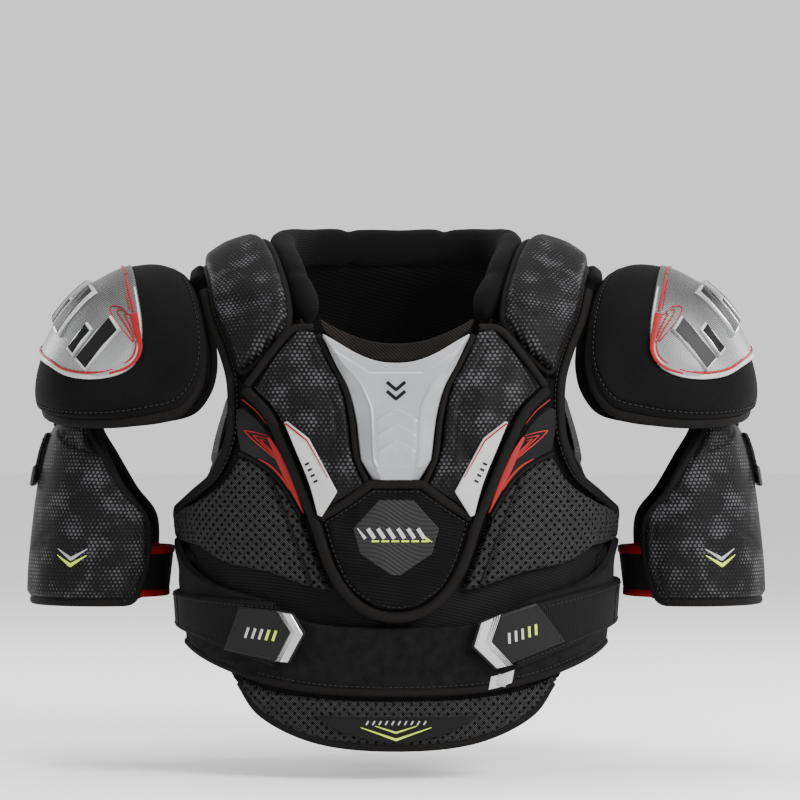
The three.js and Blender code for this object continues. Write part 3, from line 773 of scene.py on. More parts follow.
def mesh_relief(uv, flat, reach):
    a = (uv[..., 0] + uv[..., 1]) * 2 * np.pi / MESH_PITCH
    b = (uv[..., 0] - uv[..., 1]) * 2 * np.pi / MESH_PITCH
    hole = (0.5 + 0.5 * np.sin(a)) * (0.5 + 0.5 * np.sin(b))
    return -1.3 * np.clip((hole - 0.3) / 0.4, 0, 1)


def loop_fabric():
    """Brushed loop fabric: black, soft, with a fine matted surface."""
    s = Shader("brushed_loop", (0.004, 0.004, 0.004), 0.95, Sheen_Weight=0.015, Sheen_Roughness=0.6,
               Specular_IOR_Level=0.05)
    at = s.solid()
    fuzz = s.math("MULTIPLY_ADD", s.noise(at, 1.1, 5, 0.75), 0.7,
                  s.math("MULTIPLY", s.noise(at, 0.12, 3), 0.5))
    s.color(s.mix(s.ramp(fuzz, 0.3, 0.9), (0.0015, 0.0015, 0.0015), (0.008, 0.008, 0.008)))
    s.bump(fuzz, 0.9, 0.9)
    return s.material


def tape(name, color, light, pitch=1.3):
    """Grosgrain: ribs across the tape's length."""
    s = Shader(name, color, 0.75, Specular_IOR_Level=0.07)
    at = s.fabric()
    ribs = s.wave(at, (1.0, 0.0, 0.0), pitch)
    fuzz = s.noise(s.solid(), 1.5, 3)
    s.color(s.mix(s.math("MULTIPLY", ribs, s.ramp(fuzz, 0.2, 0.8, 0.5, 1.0)), color, light))
    s.bump(s.math("ADD", ribs, s.math("MULTIPLY", fuzz, 0.4)), 0.6, 0.25)
    return s.material


def plain(name, color, rough=0.5, grain=0.0, scale=0.5, **sockets):
    """Moulded or coated surface with a fine grain and slow changes of tone."""
    s = Shader(name, color, rough, **sockets)
    at = s.solid()
    fine = s.noise(at, scale, 3)
    slow = s.ramp(s.noise(at, 0.03, 2), 0.3, 0.7)
    darker = tuple(c * 0.82 for c in color)
    s.color(s.mix(s.math("MULTIPLY", slow, s.ramp(fine, 0.2, 0.8, 0.6, 1.0)), darker, color))
    s.bump(fine, grain, 0.2)
    return s.material


def silver_film():
    """Coated silver cloth with fine slanted lines, darker towards the top of the cap."""
    s = Shader("silver_film", (0.42, 0.43, 0.44), 0.4, Metallic=0.25)
    at = s.solid()
    folded = s.vector("ABSOLUTE", s.vector("ADD", at, (0.0, 0.0, 500.0)))
    lines = s.wave(folded, (-0.7, 0.0, 1.0), 1.7)
    height = s.node("ShaderNodeSeparateXYZ")
    s.link(at, height.inputs[0])
    up = s.ramp(height.outputs[2], -60.0, 6.0)
    s.color(s.mix(up, s.mix(lines, (0.14, 0.142, 0.145), (0.26, 0.263, 0.267)),
                  s.mix(lines, (0.02, 0.02, 0.0215), (0.058, 0.058, 0.06))))
    s.bump(lines, 0.5, 0.25)
    return s.material


def wavy_rubber():
    """Dark badge with fine wavy moulded lines."""
    s = Shader("wavy_rubber", (0.022, 0.022, 0.024), 0.6, Specular_IOR_Level=0.25)
    at = s.fabric()
    parts = s.node("ShaderNodeSeparateXYZ")
    s.link(at, parts.inputs[0])
    drift = s.math("MULTIPLY", s.math("SINE", s.math("MULTIPLY", parts.outputs[0], 0.11)), 3.5)
    height = s.math("ADD", s.math("MULTIPLY_ADD", parts.outputs[0], 0.35, parts.outputs[1]), drift)
    lines = s.math("MULTIPLY_ADD", s.math("SINE", s.math("MULTIPLY", height, 1.9)), 0.5, 0.5)
    s.color(s.mix(s.ramp(lines, 0.25, 0.7), (0.0035, 0.0035, 0.0038), (0.0095, 0.0095, 0.0102)))
    s.bump(lines, 0.7, 0.6)
    return s.material


KNIT = knit("black_knit", (0.0015, 0.0015, 0.0016), (0.0085, 0.0085, 0.009))
COLLAR_KNIT = knit("collar_knit", (0.0015, 0.0015, 0.0017), (0.008, 0.008, 0.0083), 2.2, -0.6)
RIB_KNIT = knit("ribbed_knit", (0.0015, 0.0015, 0.0016), (0.008, 0.008, 0.0084), 2.4, 0.15, 0.9)
NECK_KNIT = knit("neckline_knit", (0.003, 0.0026, 0.0023), (0.024, 0.021, 0.0185), 3.0, 1.0)
LINER_CLOTH = knit("liner_cloth", (0.003, 0.003, 0.0033), (0.0115, 0.0115, 0.012), 2.4, 0.2, 0.8, 0.4)
GRAPHIC = knit("graphic_weave", (0.004, 0.004, 0.0045), (0.03, 0.03, 0.032), 1.7, 1.0, 0.7)
PRINT = print_fabric()
MESH = mesh_fabric()
LOOP = loop_fabric()
TAPE = tape("binding_tape", (0.002, 0.0018, 0.0017), (0.0105, 0.0095, 0.0088))
WEBBING = tape("webbing", (0.0018, 0.0018, 0.0018), (0.009, 0.009, 0.0093), 1.8)
RED_TAPE = tape("red_tape", (0.11, 0.0015, 0.002), (0.23, 0.004, 0.005), 1.3)
THREAD = plain("thread_and_highlight", (0.014, 0.0135, 0.013), 0.7, Specular_IOR_Level=0.2)
PEARL = plain("pearl_plastic", (0.27, 0.277, 0.285), 0.24, 0.04, 0.4, Coat_Weight=0.35, Coat_Roughness=0.12)
WHITE = plain("white_film", (0.38, 0.38, 0.375), 0.45, 0.3, 1.5)
SILVER = silver_film()
RED = plain("red_print", (0.235, 0.0015, 0.002), 0.5, 0.1, Specular_IOR_Level=0.25)
LIME = plain("lime_print", (0.5, 0.66, 0.03), 0.5, 0.1)
GREY_PRINT = plain("grey_print", (0.3, 0.31, 0.32), 0.5, 0.1)
STRAP_RUBBER = plain("strap_badge_rubber", (0.006, 0.006, 0.0063), 0.38, 0.1, 1.2, Specular_IOR_Level=0.14)
BLACK_GLOSS = plain("black_gloss", (0.004, 0.004, 0.0043), 0.4, 0.1, 1.0, Specular_IOR_Level=0.12)
BADGE = wavy_rubber()
SHELL = plain("hard_shell", (0.008, 0.008, 0.0085), 0.45, 0.2, 0.8)
CHROME = plain("silver_rim", (0.43, 0.435, 0.44), 0.26, 0.05, 0.6, Metallic=0.5)

# ---------------------------------------------------------------- outlines, as seen from the front (x, z)
BIB_INNER = [(62, -26), (51, -50), (41, -70), (36, -92), (32, -125), (22, -146), (40, -157), (57, -168)]
BIB_OUTER = [(74, -20), (94, -43), (112, -71), (94, -88), (80, -118), (70, -144), (64, -158), (60, -168)]
PLATE_SIDE = [(58, -27), (48, -50), (38, -69), (32, -91), (28, -125), (17.5, -142)]
PLATE_MIDDLE = [(0, -50), (0, -64), (0, -78), (0, -96), (0, -125), (0, -142)]
CENTRE_SIDE = [(17, -146), (37, -159), (55, -173), (47, -204), (33, -226), (15, -239)]
CENTRE_MIDDLE = [(0, -146), (0, -165), (0, -185), (0, -205), (0, -226), (0, -242)]
BADGE_SIDE = [(13, -156), (33, -178), (28, -197), (3, -214)]
BIB_PIPING = [(116, -72), (99, -90), (84, -120), (73, -147), (62, -173), (51, -206), (37, -229),
              (20, -242), (0, -246)]
MESH_TOP = [(74, -171), (89, -146), (105, -131), (121, -123), (137, -145), (160, -160)]
MESH_BOTTOM = [(52, -226), (66, -224), (100, -213), (135, -206), (156, -194)]
ARMHOLE = [(152, 6), (146, -16), (136, -40), (129, -64), (128, -92), (131, -114), (142, -138), (160, -154)]
# Edges of the belly band, as turn and height on the torso.
BAND_TOP = [(-84, -186), (-73, -203), (-55, -221), (-34, -233), (-20, -250), (0, -254),
            (20, -250), (34, -233), (55, -221), (73, -203), (84, -186)]
BAND_BOTTOM = [(-75, -270), (-64, -277), (-50, -286), (-34, -296), (-17, -303), (0, -305),
               (17, -303), (34, -296), (50, -286), (64, -277), (75, -270)]
# Edges of the trap pads in front, as seen from the front.
TRAP_INNER = [(121, -57), (101, -38), (86, -17), (86, 2)]
TRAP_OUTER = [(124, -58), (131, -38), (140, -16), (148, 2)]
# Side straps: the height of each edge at the middle of the front, and its rise round the side.
STRAP_EDGES = {"left": ((-256, 36), (-316, 61)), "right": ((-238, 8), (-312, 54))}
# Strap badges as seen from the front (x, z): upper edge, lower edge, inner edge of the silver chevron.
STRAP_BADGES = {
    "left": ([(58, -267), (64, -249), (108, -236)], [(58.5, -269.5), (76, -286.5), (131, -266)],
             [(81, -243.6), (73.6, -264.6), (90, -282.6)]),
    "right": ([(69.6, -257.5), (79, -242.5), (121, -239)], [(70, -260.5), (82, -282), (133, -273)],
              [(92, -241.8), (81.4, -257.8), (93.4, -280.4)]),
}


def flip(points):
    return [(-x, z) for x, z in points]


def drawn(points, count, depth, sharp=()):
    """Places along a smooth line of front-view points, for a piece at a depth."""
    return front(trace(points, count, sharp=sharp), depth)


def mirrored(edge):
    """The same edge on the other side of the middle."""
    return edge * np.array([-1, 1])


def line_at(surface, places, depth):
    return surface(np.asarray(places, float), np.full(len(places), float(depth)))


# ---------------------------------------------------------------- front half
def chest_pads():
    for side, sign in SIDES.items():
        inner = drawn(BIB_INNER, 90, BIB_FACE, sharp=(5,))
        outer = drawn(BIB_OUTER, 90, BIB_FACE, sharp=(2,))
        seam = line_at(torso, drawn([(70, -36), (58, -62), (48, -84), (44, -120), (34, -140)], 60,
                                    BIB_FACE), 21)
        pad(f"chest_cover_{side}", torso, [inner, outer], BIB_PAD, PRINT, "front_half",
            rows=110, cols=50, roll=5, crown=1.0, cloth=3.0, cap=2.5, seams=[(seam, 1.6, 1.2)], side=sign,
            uv_of=torso_uv, stands_for=(f"chest_pad_{side}",))
        edge = drawn([(60, -30), (49, -52), (39, -72), (34, -94), (30, -124), (22, -143)], 70, 20)
        top = drawn([(64, -24), (80, -26), (97, -45), (115, -69)], 50, 20)
        trim(f"chest_binding_{side}", [binding(torso, edge, 18.6, 4.5, 2.0),
                                       binding(torso, top, 19.5, 6, 2.6)], TAPE, "front_half",
             sign)
        inset = drawn([(67, -31), (84, -45), (104, -71)], 50, BIB_FACE)
        thread_line(f"chest_stitches_{side}", "front_half", torso, inset, 21.6, side=sign)


# Height, and the raised middle panel's share of the plate's half width there.
STERNUM_RIDGE = [(-142, 0.62), (-131, 0.62), (-85, 0.58), (-65, 0.73), (-52, 0.87), (-27, 1.0)]


def sternum_relief(uv, flat, reach):
    """Moulded facets: a raised middle panel, bevels down to the sides and foot, low arches."""
    x, z = np.abs(flat[..., 0]), flat[..., 2]
    half = np.interp(z, [-142, -125, -91, -69, -50, -27], [17.5, 28, 32, 38, 48, 58])
    ridge = np.interp(z, *np.array(STERNUM_RIDGE).T)
    share = x / half
    out = np.clip((share - ridge) / np.maximum(1 - ridge, 0.05), 0, 1)
    height = -8.5 * out
    lip = np.exp(-((x - ridge * half) / 0.9) ** 2) * np.clip((-60 - z) / 12, 0, 1) * (z > -131)
    height = height + 1.0 * lip
    for peak in (-87.7, -99.4, -111.8):
        below = peak - 0.62 * (np.sqrt(x**2 + 8) - 2.8) - z
        fade = np.clip((0.52 - share) / 0.1, 0, 1)
        height = height + 1.5 * fade * np.where(below > 0, np.exp(-below / 5), np.exp(below / 0.5))
    roof = -60 + 0.62 * np.clip(x - 20, 0, None) - z
    height = height - 1.5 * np.clip(-roof / 2.2, 0, 1) * (1 - out)
    foot = np.clip((-131 - z) / 11, 0, 1)
    return height - 6.5 * foot * (1 - 0.6 * out)


def sternum():
    side = drawn(PLATE_SIDE, 90, PLATE_FACE, sharp=(4,))
    middle = drawn(PLATE_MIDDLE, 90, PLATE_FACE)
    other = mirrored(side)
    pad("sternum_moulding", torso, [other, middle, side], (14, 27), PEARL, "front_half",
        rows=190, cols=150, roll=1.6, relief=sternum_relief, uv_of=torso_uv, fill=None,
        stands_for=("sternum_plate",), ease=0.1)
    mark = []
    for z in (-70, -77):
        arrow = drawn([(-7, z + 4), (0, z - 2), (7, z + 4)], 31, 28, sharp=(1,))
        mark.append(stripe(torso, arrow, 27.0, 2.6, 0.5))
    trim("sternum_mark", mark, BLACK_GLOSS, "front_half", crisp=40)


def centre():
    side = drawn(CENTRE_SIDE, 80, BIB_FACE, sharp=(2,))
    middle = drawn(CENTRE_MIDDLE, 80, BIB_FACE)
    pad("centre_cover", torso, [mirrored(side), middle, side], BIB_PAD, RIB_KNIT, "front_half",
        rows=70, cols=60, roll=5, crown=1.0, cloth=2.0, cap=2.0, uv_of=torso_uv,
        stands_for=("centre_pad",))
    edge = drawn(BADGE_SIDE, 60, BADGE_FACE, sharp=(1, 2))
    badge = plate_patch(torso, [mirrored(edge), edge], 22.2, 2.0, 40, 40)
    trim("badge_body", [badge], BADGE, "front_half", stands_for=("centre_badge",))
    lime, white = [], []
    for k in range(6):
        x = -21.5 + 7.6 * k
        slash = front(np.array([(x + 5, -185.5), (x, -178.0)]), ACCENT_FACE)
        white.append(stripe(torso, np.linspace(slash[0], slash[1], 8), 24.6, 3.0, 0.5))
        low = front(np.array([(x + 2.9, -187.6), (x + 8.6, -187.6)]), ACCENT_FACE)
        lime.append(stripe(torso, np.linspace(low[0], low[1], 8), 24.5, 1.3, 0.4))
    lead = front(np.linspace((-29.5, -177.6), (-23.5, -185.6), 12), ACCENT_FACE)
    white.append(stripe(torso, lead, 24.6, np.linspace(0.5, 2.6, 12), 0.5))
    tail = front(np.linspace((21.5, -184.6), (27.5, -188.2), 12), ACCENT_FACE)
    lime.append(stripe(torso, tail, 24.5, np.linspace(1.8, 0.5, 12), 0.4))
    trim("badge_bars_white", white, WHITE, "front_half", crisp=40)
    trim("badge_bars_lime", lime, LIME, "front_half", crisp=40)
    border = trace([(-58, -170), (-38, -158), (-20, -144.5), (20, -144.5), (38, -158), (58, -170)], 160,
                   sharp=(2, 3))
    tape_line("centre_tape", "front_half", torso, front(border, BIB_FACE), 19.6, 7.0, 2.4)
    seam = trace([(-54, -174), (-35, -162), (-17.5, -150), (17.5, -150), (35, -162), (54, -174)], 160,
                 sharp=(2, 3))
    thread_line("centre_stitches", "front_half", torso, front(seam, BIB_FACE), 22.0)


# Red print beside the V binding, as seen from the front (x, z), with its width along the line.
CHEST_PRINT = [
    ([(118.6, -74.6), (107, -84.5), (97, -97), (94.6, -104)], (), (1.2, 1.2, 1.2, 0.8)),
    ([(119, -79.6), (108, -88.5), (100, -98.5)], (), (0.7, 0.9, 0.5)),
    ([(99, -107.6), (108, -105), (117.6, -103.4), (110, -111), (101, -118.4), (93, -125)], (2,),
     (0.6, 0.9, 1.0, 1.1, 1.2, 1.0)),
    ([(100, -109.4), (110.6, -107), (103, -114.2), (93, -124)], (1,), (0.6, 0.9, 1.1, 1.0)),
    ([(100.4, -111.4), (105.2, -110), (98.8, -116.4), (92.6, -122.6)], (1,), (0.6, 1.0, 1.6, 1.0)),
    ([(98.6, -108.5), (93.6, -117), (90, -125), (80.4, -146), (71.2, -166.5)], (), (2.4, 5.6, 5.8, 3.8, 0.8)),
    ([(106, -125.4), (97, -130.4), (88.6, -138.6), (81.5, -149)], (), (0.9, 1.5, 1.9, 1.5)),
]


def mesh_panels():
    for side, sign in SIDES.items():
        top = np.vstack([drawn(MESH_TOP, 70, BASE_FACE, sharp=(3,)), trace([(80, -167), (92, -174)], 14)])
        low = np.vstack([drawn(MESH_BOTTOM, 70, BASE_FACE), trace([(82, -190), (92, -184)], 14)])
        seam = line_at(torso, drawn([(98, -139), (86, -168), (74, -200), (66, -223)], 60, BASE_FACE), 14)
        fold = line_at(torso, drawn([(128, -132), (134, -170), (138, -204)], 40, BASE_FACE), 14)
        pad(f"mesh_panel_{side}", torso, [top, low], BASE_PAD, MESH, "front_half", rows=200,
            cols=130, roll=4, crown=1.2, relief=mesh_relief, seams=[(seam, 1.8, 2.2), (fold, 3, 1.4)],
            side=sign, uv_of=torso_uv, stands_for=(f"side_mesh_pad_{side}",), ease=0.1)
        hole = drawn([(118, -85), (104, -97), (92, -115), (83, -135), (71, -163)], 60, NECK_FACE)
        rim = drawn([(124, -86), (124, -102), (121, -119), (102, -130), (86, -146), (72.5, -167)], 60,
                    NECK_FACE, sharp=(2,))
        pad(f"graphic_panel_{side}", torso, [hole, rim], (6.5, 13.6), GRAPHIC, "front_half",
            rows=70, cols=30, roll=2, side=sign, uv_of=torso_uv, stands_for=(f"graphic_insert_{side}",))

        def seen(line):
            return front(line, 15)

        red = print_lines(torso, seen, CHEST_PRINT, 14.2)
        trim(f"graphic_lines_{side}", red, RED, "front_half", sign)
        hem = drawn([(73, -169.5), (88, -145), (104, -130), (122, -121)], 60, BASE_FACE)
        cord = drawn([(96, -139), (84, -168), (72, -200), (64, -223)], 60, BASE_FACE)
        parts = [binding(torso, hem, 13.2, 2.8, 1.2), stripe(torso, cord, 14.0, 1.4, 0.9)]
        trim(f"mesh_hem_{side}", parts, TAPE, "front_half", sign)


def side_gussets():
    """Stretch knit that closes the gap between the mesh and the ends of the belly band."""
    for side, sign in SIDES.items():
        edges = [[(70, -201), (78, -197), (83, -192.5), (91, -187.5)],
                 [(68, -219), (78, -213), (83, -210), (88, -207)]]
        pad(f"side_gusset_{side}", torso, edges, (5.2, 9.6), KNIT, "front_half", rows=24,
            cols=10, roll=1.5, side=sign, uv_of=torso_uv)


def accents():
    for side, sign in SIDES.items():
        inner = drawn([(84, -96), (67, -109), (45, -150), (57, -169)], 90, ACCENT_FACE, sharp=(1, 2))
        outer = drawn([(86, -97), (79, -114), (67, -143), (60, -168)], 90, ACCENT_FACE)
        body = plate_patch(torso, [inner, outer], 22.6, 2.0, 90, 24)
        trim(f"accent_panel_{side}", [body], WHITE, "front_half", sign,
             stands_for=(f"accent_insert_{side}",))
        pin = drawn([(84.5, -98), (68, -111), (52, -139)], 70, ACCENT_FACE, sharp=(1,))
        trim(f"accent_line_{side}", [stripe(torso, pin, 25.0, np.linspace(1.5, 0.5, 70), 0.3)], RED,
             "front_half", sign)
        bars = []
        for k in range(4):
            a = (66.5 - 2.2 * k, -128 - 4.4 * k)
            ends = front(np.array([a, (a[0] + 3, a[1] - 1.6)]), ACCENT_FACE)
            bars.append(stripe(torso, np.linspace(ends[0], ends[1], 5), 25.0, 1.6, 0.25))
        trim(f"accent_bars_{side}", bars, BLACK_GLOSS, "front_half", sign)


def bindings_of_bib():
    v = trace([*flip(BIB_PIPING), *BIB_PIPING[:-1][::-1]], 260)
    tape_line("bib_tape", "front_half", torso, front(v, 18), 18, 8.2, 3.6, stands_for=("bib_piping",))
    inside = trace([*[(-x + 6.5, z + 3) for x, z in BIB_PIPING[:-2]], (0, -238.5),
                    *[(x - 6.5, z + 3) for x, z in BIB_PIPING[:-2][::-1]]], 260)
    thread_line("bib_stitches", "front_half", torso, front(inside, BIB_FACE), 21.0)
    for side, sign in SIDES.items():
        hole = np.vstack([drawn(ARMHOLE, 120, NECK_FACE), trace([(79, -165), (86, -171), (91.5, -176)], 14)])
        beside = drawn([(x - 5.5, z) for x, z in ARMHOLE], 120, NECK_FACE)
        tape_line(f"armhole_tape_{side}", "front_half", torso, hole, 10.5, 7.5, 3.6, side=sign,
                  stands_for=(f"armhole_piping_{side}",))
        thread_line(f"armhole_stitches_{side}", "front_half", torso, beside, 14.2, side=sign)
        gusset = drawn([(112, -70), (108, -80), (105, -90)], 30, GUSSET_FACE)
        rim = drawn([(130, -58), (128, -74), (126, -90)], 30, GUSSET_FACE)
        pad(f"armhole_gusset_{side}", torso, [gusset, rim], (5.2, 8.6), KNIT, "front_half",
            rows=24, cols=12, roll=2, side=sign)


def neckline():
    top = drawn([(-61, -15), (-40, -26), (-20, -33), (0, -35), (20, -33), (40, -26), (61, -15)], 121,
                NECK_FACE)
    low = drawn([(-57, -26), (-39, -42), (-20, -50), (0, -52), (20, -50), (39, -42), (57, -26)], 121,
                NECK_FACE)
    pad("neckline_cover", torso, [top, low], (6.5, 13), NECK_KNIT, "front_half",
        rows=120, cols=14, roll=3, uv_of=torso_uv, stands_for=("neckline_band",))


def belly():
    top, low = trace(BAND_TOP, 161), trace(BAND_BOTTOM, 161)
    seams = [(line_at(torso, trace([(t, -240), (t * 0.98, -298)], 40), 15), 1.6, 1.0) for t in (-31, 0, 31)]

    def wrinkle(uv, flat, reach):
        return (0.8 * np.sin(uv[..., 0] / 17 + uv[..., 1] / 9) * np.sin(uv[..., 1] / 14)
                + 0.4 * np.sin(uv[..., 0] / 6.5 - uv[..., 1] / 5))

    pad("belly_cover", torso, [top, low], BAND, LOOP, "front_half", rows=220, cols=44, roll=3,
        crown=0.8, relief=wrinkle, seams=seams, uv_of=torso_uv, stands_for=("belly_band",))
    hem = [(t, z + 1.0) for t, z in BAND_BOTTOM]
    above = [(t, z + 5.5) for t, z in BAND_BOTTOM]
    tape_line("belly_tape", "front_half", torso, trace(hem, 200), 13, 6, 3.2)
    thread_line("belly_stitches", "front_half", torso, trace(above, 260), 15.4)
    inner = drawn([(73, -292), (82, -290), (91, -287)], 20, LABEL_FACE)
    outer = drawn([(71, -302), (80, -300), (89, -297)], 20, LABEL_FACE)
    tag = plate_patch(torso, [inner, outer], 16.4, 0.8, 12, 8, 0.5)
    trim("size_tag", [tag], WHITE, "front_half", stands_for=("size_label",))
    half = front(np.array([(82.0, -290.4), (80.4, -299.6)]), LABEL_FACE)
    trim("size_tag_bar", [stripe(torso, np.linspace(half[0], half[1], 6), 17.3, 7, 0.2)], GREY_PRINT,
         "front_half")


def liners():
    for side, sign in SIDES.items():
        middle = np.array([(0.4, -302), (0.4, -245), (0.4, -205), (0.4, -165), (0.4, -125), (0.4, -85),
                           (0.4, -56)])
        outer = np.vstack([[(60, -285), (98, -235), (98, -180)],
                           front(np.array([(143.0, -140), (127, -104), (125, -62), (113, -20)]), 5)])
        pad(f"front_lining_{side}", torso, [trace(middle, 60), trace(outer, 60)], LINER, LINER_CLOTH,
            "front_half", rows=70, cols=40, roll=2.5, side=sign, uv_of=torso_uv, fill=0.4,
            stands_for=(f"front_liner_{side}",))
    middle = trace([(0, -301), (0, -245), (0, -180), (0, -120), (0, -60)], 120)
    trim("front_lining_seam", [binding(torso, middle, 4.4, 15, 1.6)], LINER_CLOTH, "front_half")
    left = trace([(122, -296), (116, -230), (112, -168), (128, -120), (138, -60), (142, 32)], 60)
    right = mirrored(left) + np.array([360, 0])
    pad("back_lining", torso, [left, right], LINER, LINER_CLOTH, "back_half",
        rows=80, cols=90, roll=2.5, uv_of=torso_uv, fill=0.4, stands_for=("back_liner",))


# ---------------------------------------------------------------- shoulders and back
def shoulders():
    for side, sign in SIDES.items():
        inner = np.vstack([on_yoke(trace(TRAP_INNER, 40), 20),
                           trace([(96, 60), (104, 90), (98, 125), (86, 150), (70, 166)], 60)])
        outer = np.vstack([on_yoke(trace(TRAP_OUTER, 40), 20), trace([(144, 60), (146, 90), (146, 125),
                                                                       (138, 155), (116, 177)], 60)])
        inner, outer = smooth_places(inner), smooth_places(outer)
        cover = pad(f"trap_cover_{side}", yoke, [inner, outer], TRAP_PAD, PRINT, None,
                    rows=130, cols=44, roll=6, crown=2.0, cloth=3.0, cap=3.0, side=sign, uv_of=yoke_uv,
                    fill=0.7, stands_for=(f"trap_pad_front_{side}", f"trap_pad_back_{side}"))
        over_ridge(cover)
        loop = np.vstack([inner, outer[::-1]])
        border = tape_line(f"trap_tape_{side}", None, yoke, smooth_loop(loop), 9.5, 6.5, 3.4, side=sign,
                           closed=True)
        over_ridge(border)
        arch = [trace([(146, 48), (146, 90), (146, 136)], 40), trace([(157, 40), (157, 90), (157, 140)], 40)]
        pad(f"arch_cover_{side}", yoke, arch, (4, 15.5), KNIT, "back_half", rows=60, cols=20,
            roll=6, crown=1.0, side=sign, stands_for=(f"shoulder_arch_{side}",))
        gusset = [drawn([(122, -60), (128, -40), (135, -18), (141, 0)], 40, GUSSET_FACE),
                  drawn([(130, -66), (138, -40), (148, -16), (152, 4)], 40, GUSSET_FACE)]
        pad(f"shoulder_gusset_{side}", torso, gusset, (6, 11), KNIT, "front_half", rows=50,
            cols=14, roll=2, side=sign)


def smooth_places(places, times=6):
    p = np.array(places, float)
    for _ in range(times):
        p[1:-1] = (p[:-2] + 2 * p[1:-1] + p[2:]) / 4
    return p


def smooth_loop(places, count=240):
    line = trace(places, count + 1, closed=True)[:-1]
    for _ in range(4):
        line = (np.roll(line, 1, 0) + 2 * line + np.roll(line, -1, 0)) / 4
    return line


def over_ridge(obj):
    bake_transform(obj)


def collar():
    half = [(68, -82, -18), (76, -66, 0), (85, -42, 21), (91, -3, 37), (88, 30, 42), (68, 56, 44),
            (36, 69, 44)]
    line = trace([*half, (0, 72, 44), *[(-x, y, z) for x, y, z in half[::-1]]], 300)
    out = unit(line * np.array([1, 1, 0.0]))
    seam = 0.12 * np.exp(-((np.linspace(0, 1, 300) % (1 / 6) - 1 / 12) * 90) ** 2)
    wobble = 1 + 0.03 * np.sin(np.linspace(0, 60, 300)) * np.sin(np.linspace(0, 17, 300))
    turns = np.linspace(0, 2 * np.pi, 28, endpoint=False)
    section = [(math.copysign(abs(math.cos(a)) ** 0.8, math.cos(a)),
                math.copysign(abs(math.sin(a)) ** 0.8, math.sin(a))) for a in turns]
    from_end = np.minimum(np.arange(300), np.arange(300)[::-1]) / 13
    taper = 0.15 + 0.85 * np.sqrt(1 - np.clip(1 - from_end, 0, 1) ** 2)
    body = sweep(line, out, 15.5 * taper * wobble * (1 - seam), 10.5 * taper * wobble, section)
    obj = trim("collar_roll", [body], COLLAR_KNIT, None,
               stands_for=("collar_back", "collar_front_left", "collar_front_right"))
    over_ridge(obj)
    ahead = unit(np.gradient(line, axis=0))
    up = np.cross(ahead, out)
    up *= np.sign(up[:, 2:3])
    low = line - up * 12.5 * taper[:, None] + out * 5.5
    tape_edge = trim("collar_tape", [sweep(low, unit(out - 0.8 * up), 2.6, 1.6, TAPE_SECTION)], TAPE, None)
    over_ridge(tape_edge)


def back():
    spine = [trace([(162, 16), (163, -60), (165, -130), (168, -215)], 60),
             trace([(198, 16), (197, -60), (195, -130), (192, -215)], 60)]
    bars = [(line_at(torso, trace([(160, z), (200, z)], 50), 22), 3.0, 4.0) for z in (-30, -75, -120, -165)]
    pad("spine_cover", torso, spine, (6.5, 22), KNIT, "back_half", rows=110, cols=56, roll=7,
        crown=2.0, cloth=4.0, cap=4.0, seams=bars, uv_of=torso_uv, fill=0.7, stands_for=("spine_pad",))
    top = [(123, -222), (140, -224), (160, -224), (180, -222), (200, -224), (220, -224), (237, -222)]
    low = [(126, -290), (140, -296), (160, -302), (180, -304), (200, -302), (220, -296), (234, -290)]
    pad("lower_back_cover", torso, [trace(top, 80), trace(low, 80)], BASE_PAD, MESH, "back_half",
        rows=220, cols=70, roll=4, crown=1.5, relief=mesh_relief, uv_of=torso_uv,
        stands_for=("lower_back_pad",), ease=0.1)
    for side, sign in SIDES.items():
        scapula = [trace([(159, -24), (159, -80), (161, -140), (163, -214)], 60),
                   trace([(140, -36), (133, -80), (124, -138), (122, -214)], 60)]
        bars = [(line_at(torso, trace([(164, z), (120, z + 22)], 50), 19), 3.0, 3.0) for z in (-90, -150)]
        pad(f"scapula_cover_{side}", torso, scapula, (6.5, 19), PRINT, "back_half",
            rows=100, cols=56, roll=6, crown=2.0, cloth=4.0, cap=4.0, seams=bars, side=sign, uv_of=torso_uv,
            fill=0.7, stands_for=(f"scapula_pad_{side}",))
        rim = trace([(122, -296), (116, -230), (112, -168), (128, -120), (138, -60), (142, 30)], 150)
        tape_line(f"back_tape_{side}", "back_half", torso, rim, 3.5, 6.5, 3.6, side=sign)
    hem = trace([(122, -296), (150, -296), (180, -296), (210, -296), (238, -296)], 120)
    tape_line("back_hem_tape", "back_half", torso, hem, 3.5, 6.5, 3.4)


# ---------------------------------------------------------------- side straps and belly extension
def strap_lines(side, turns, shares):
    """Lines of places along a side strap: one for each share of the way from its top edge to its low one."""
    lines = []
    for share in shares:
        line = []
        for turn in turns:
            top, low = (middle + rise * math.sin(math.radians(turn)) for middle, rise in STRAP_EDGES[side])
            line.append((turn, top + (low - top) * share))
        lines.append(line)
    return lines


def straps():
    for side, sign in SIDES.items():
        for name, turns, body, under in (
                (f"side_strap_{side}", np.linspace(29, 75, 34), f"side_strap_{side}", "belly_cover"),
                (f"strap_anchor_{side}", np.linspace(75.5, 126, 38), "back_half", "lower_back_cover")):
            pad(f"{name}_web", torso, strap_lines(side, turns, (0, 1)), (17, 19.6), WEBBING, body,
                rows=60, cols=20, roll=1.2, side=sign, uv_of=torso_uv, held="stretched",
                stands_for=(name,))
            rows_of = [stitches(torso, trace(line, 100), 19.9)
                       for line in strap_lines(side, turns, (0.1, 0.9))]
            if body == "back_half":
                corners = strap_lines(side, (119, 125), (0.1, 0.9))
                rows_of += [stitches(torso, trace(ends, 40), 19.9) for ends in zip(*corners)]
            trim(f"{name}_stitches", rows_of, THREAD, body, sign)
        strap_badge(side, sign)


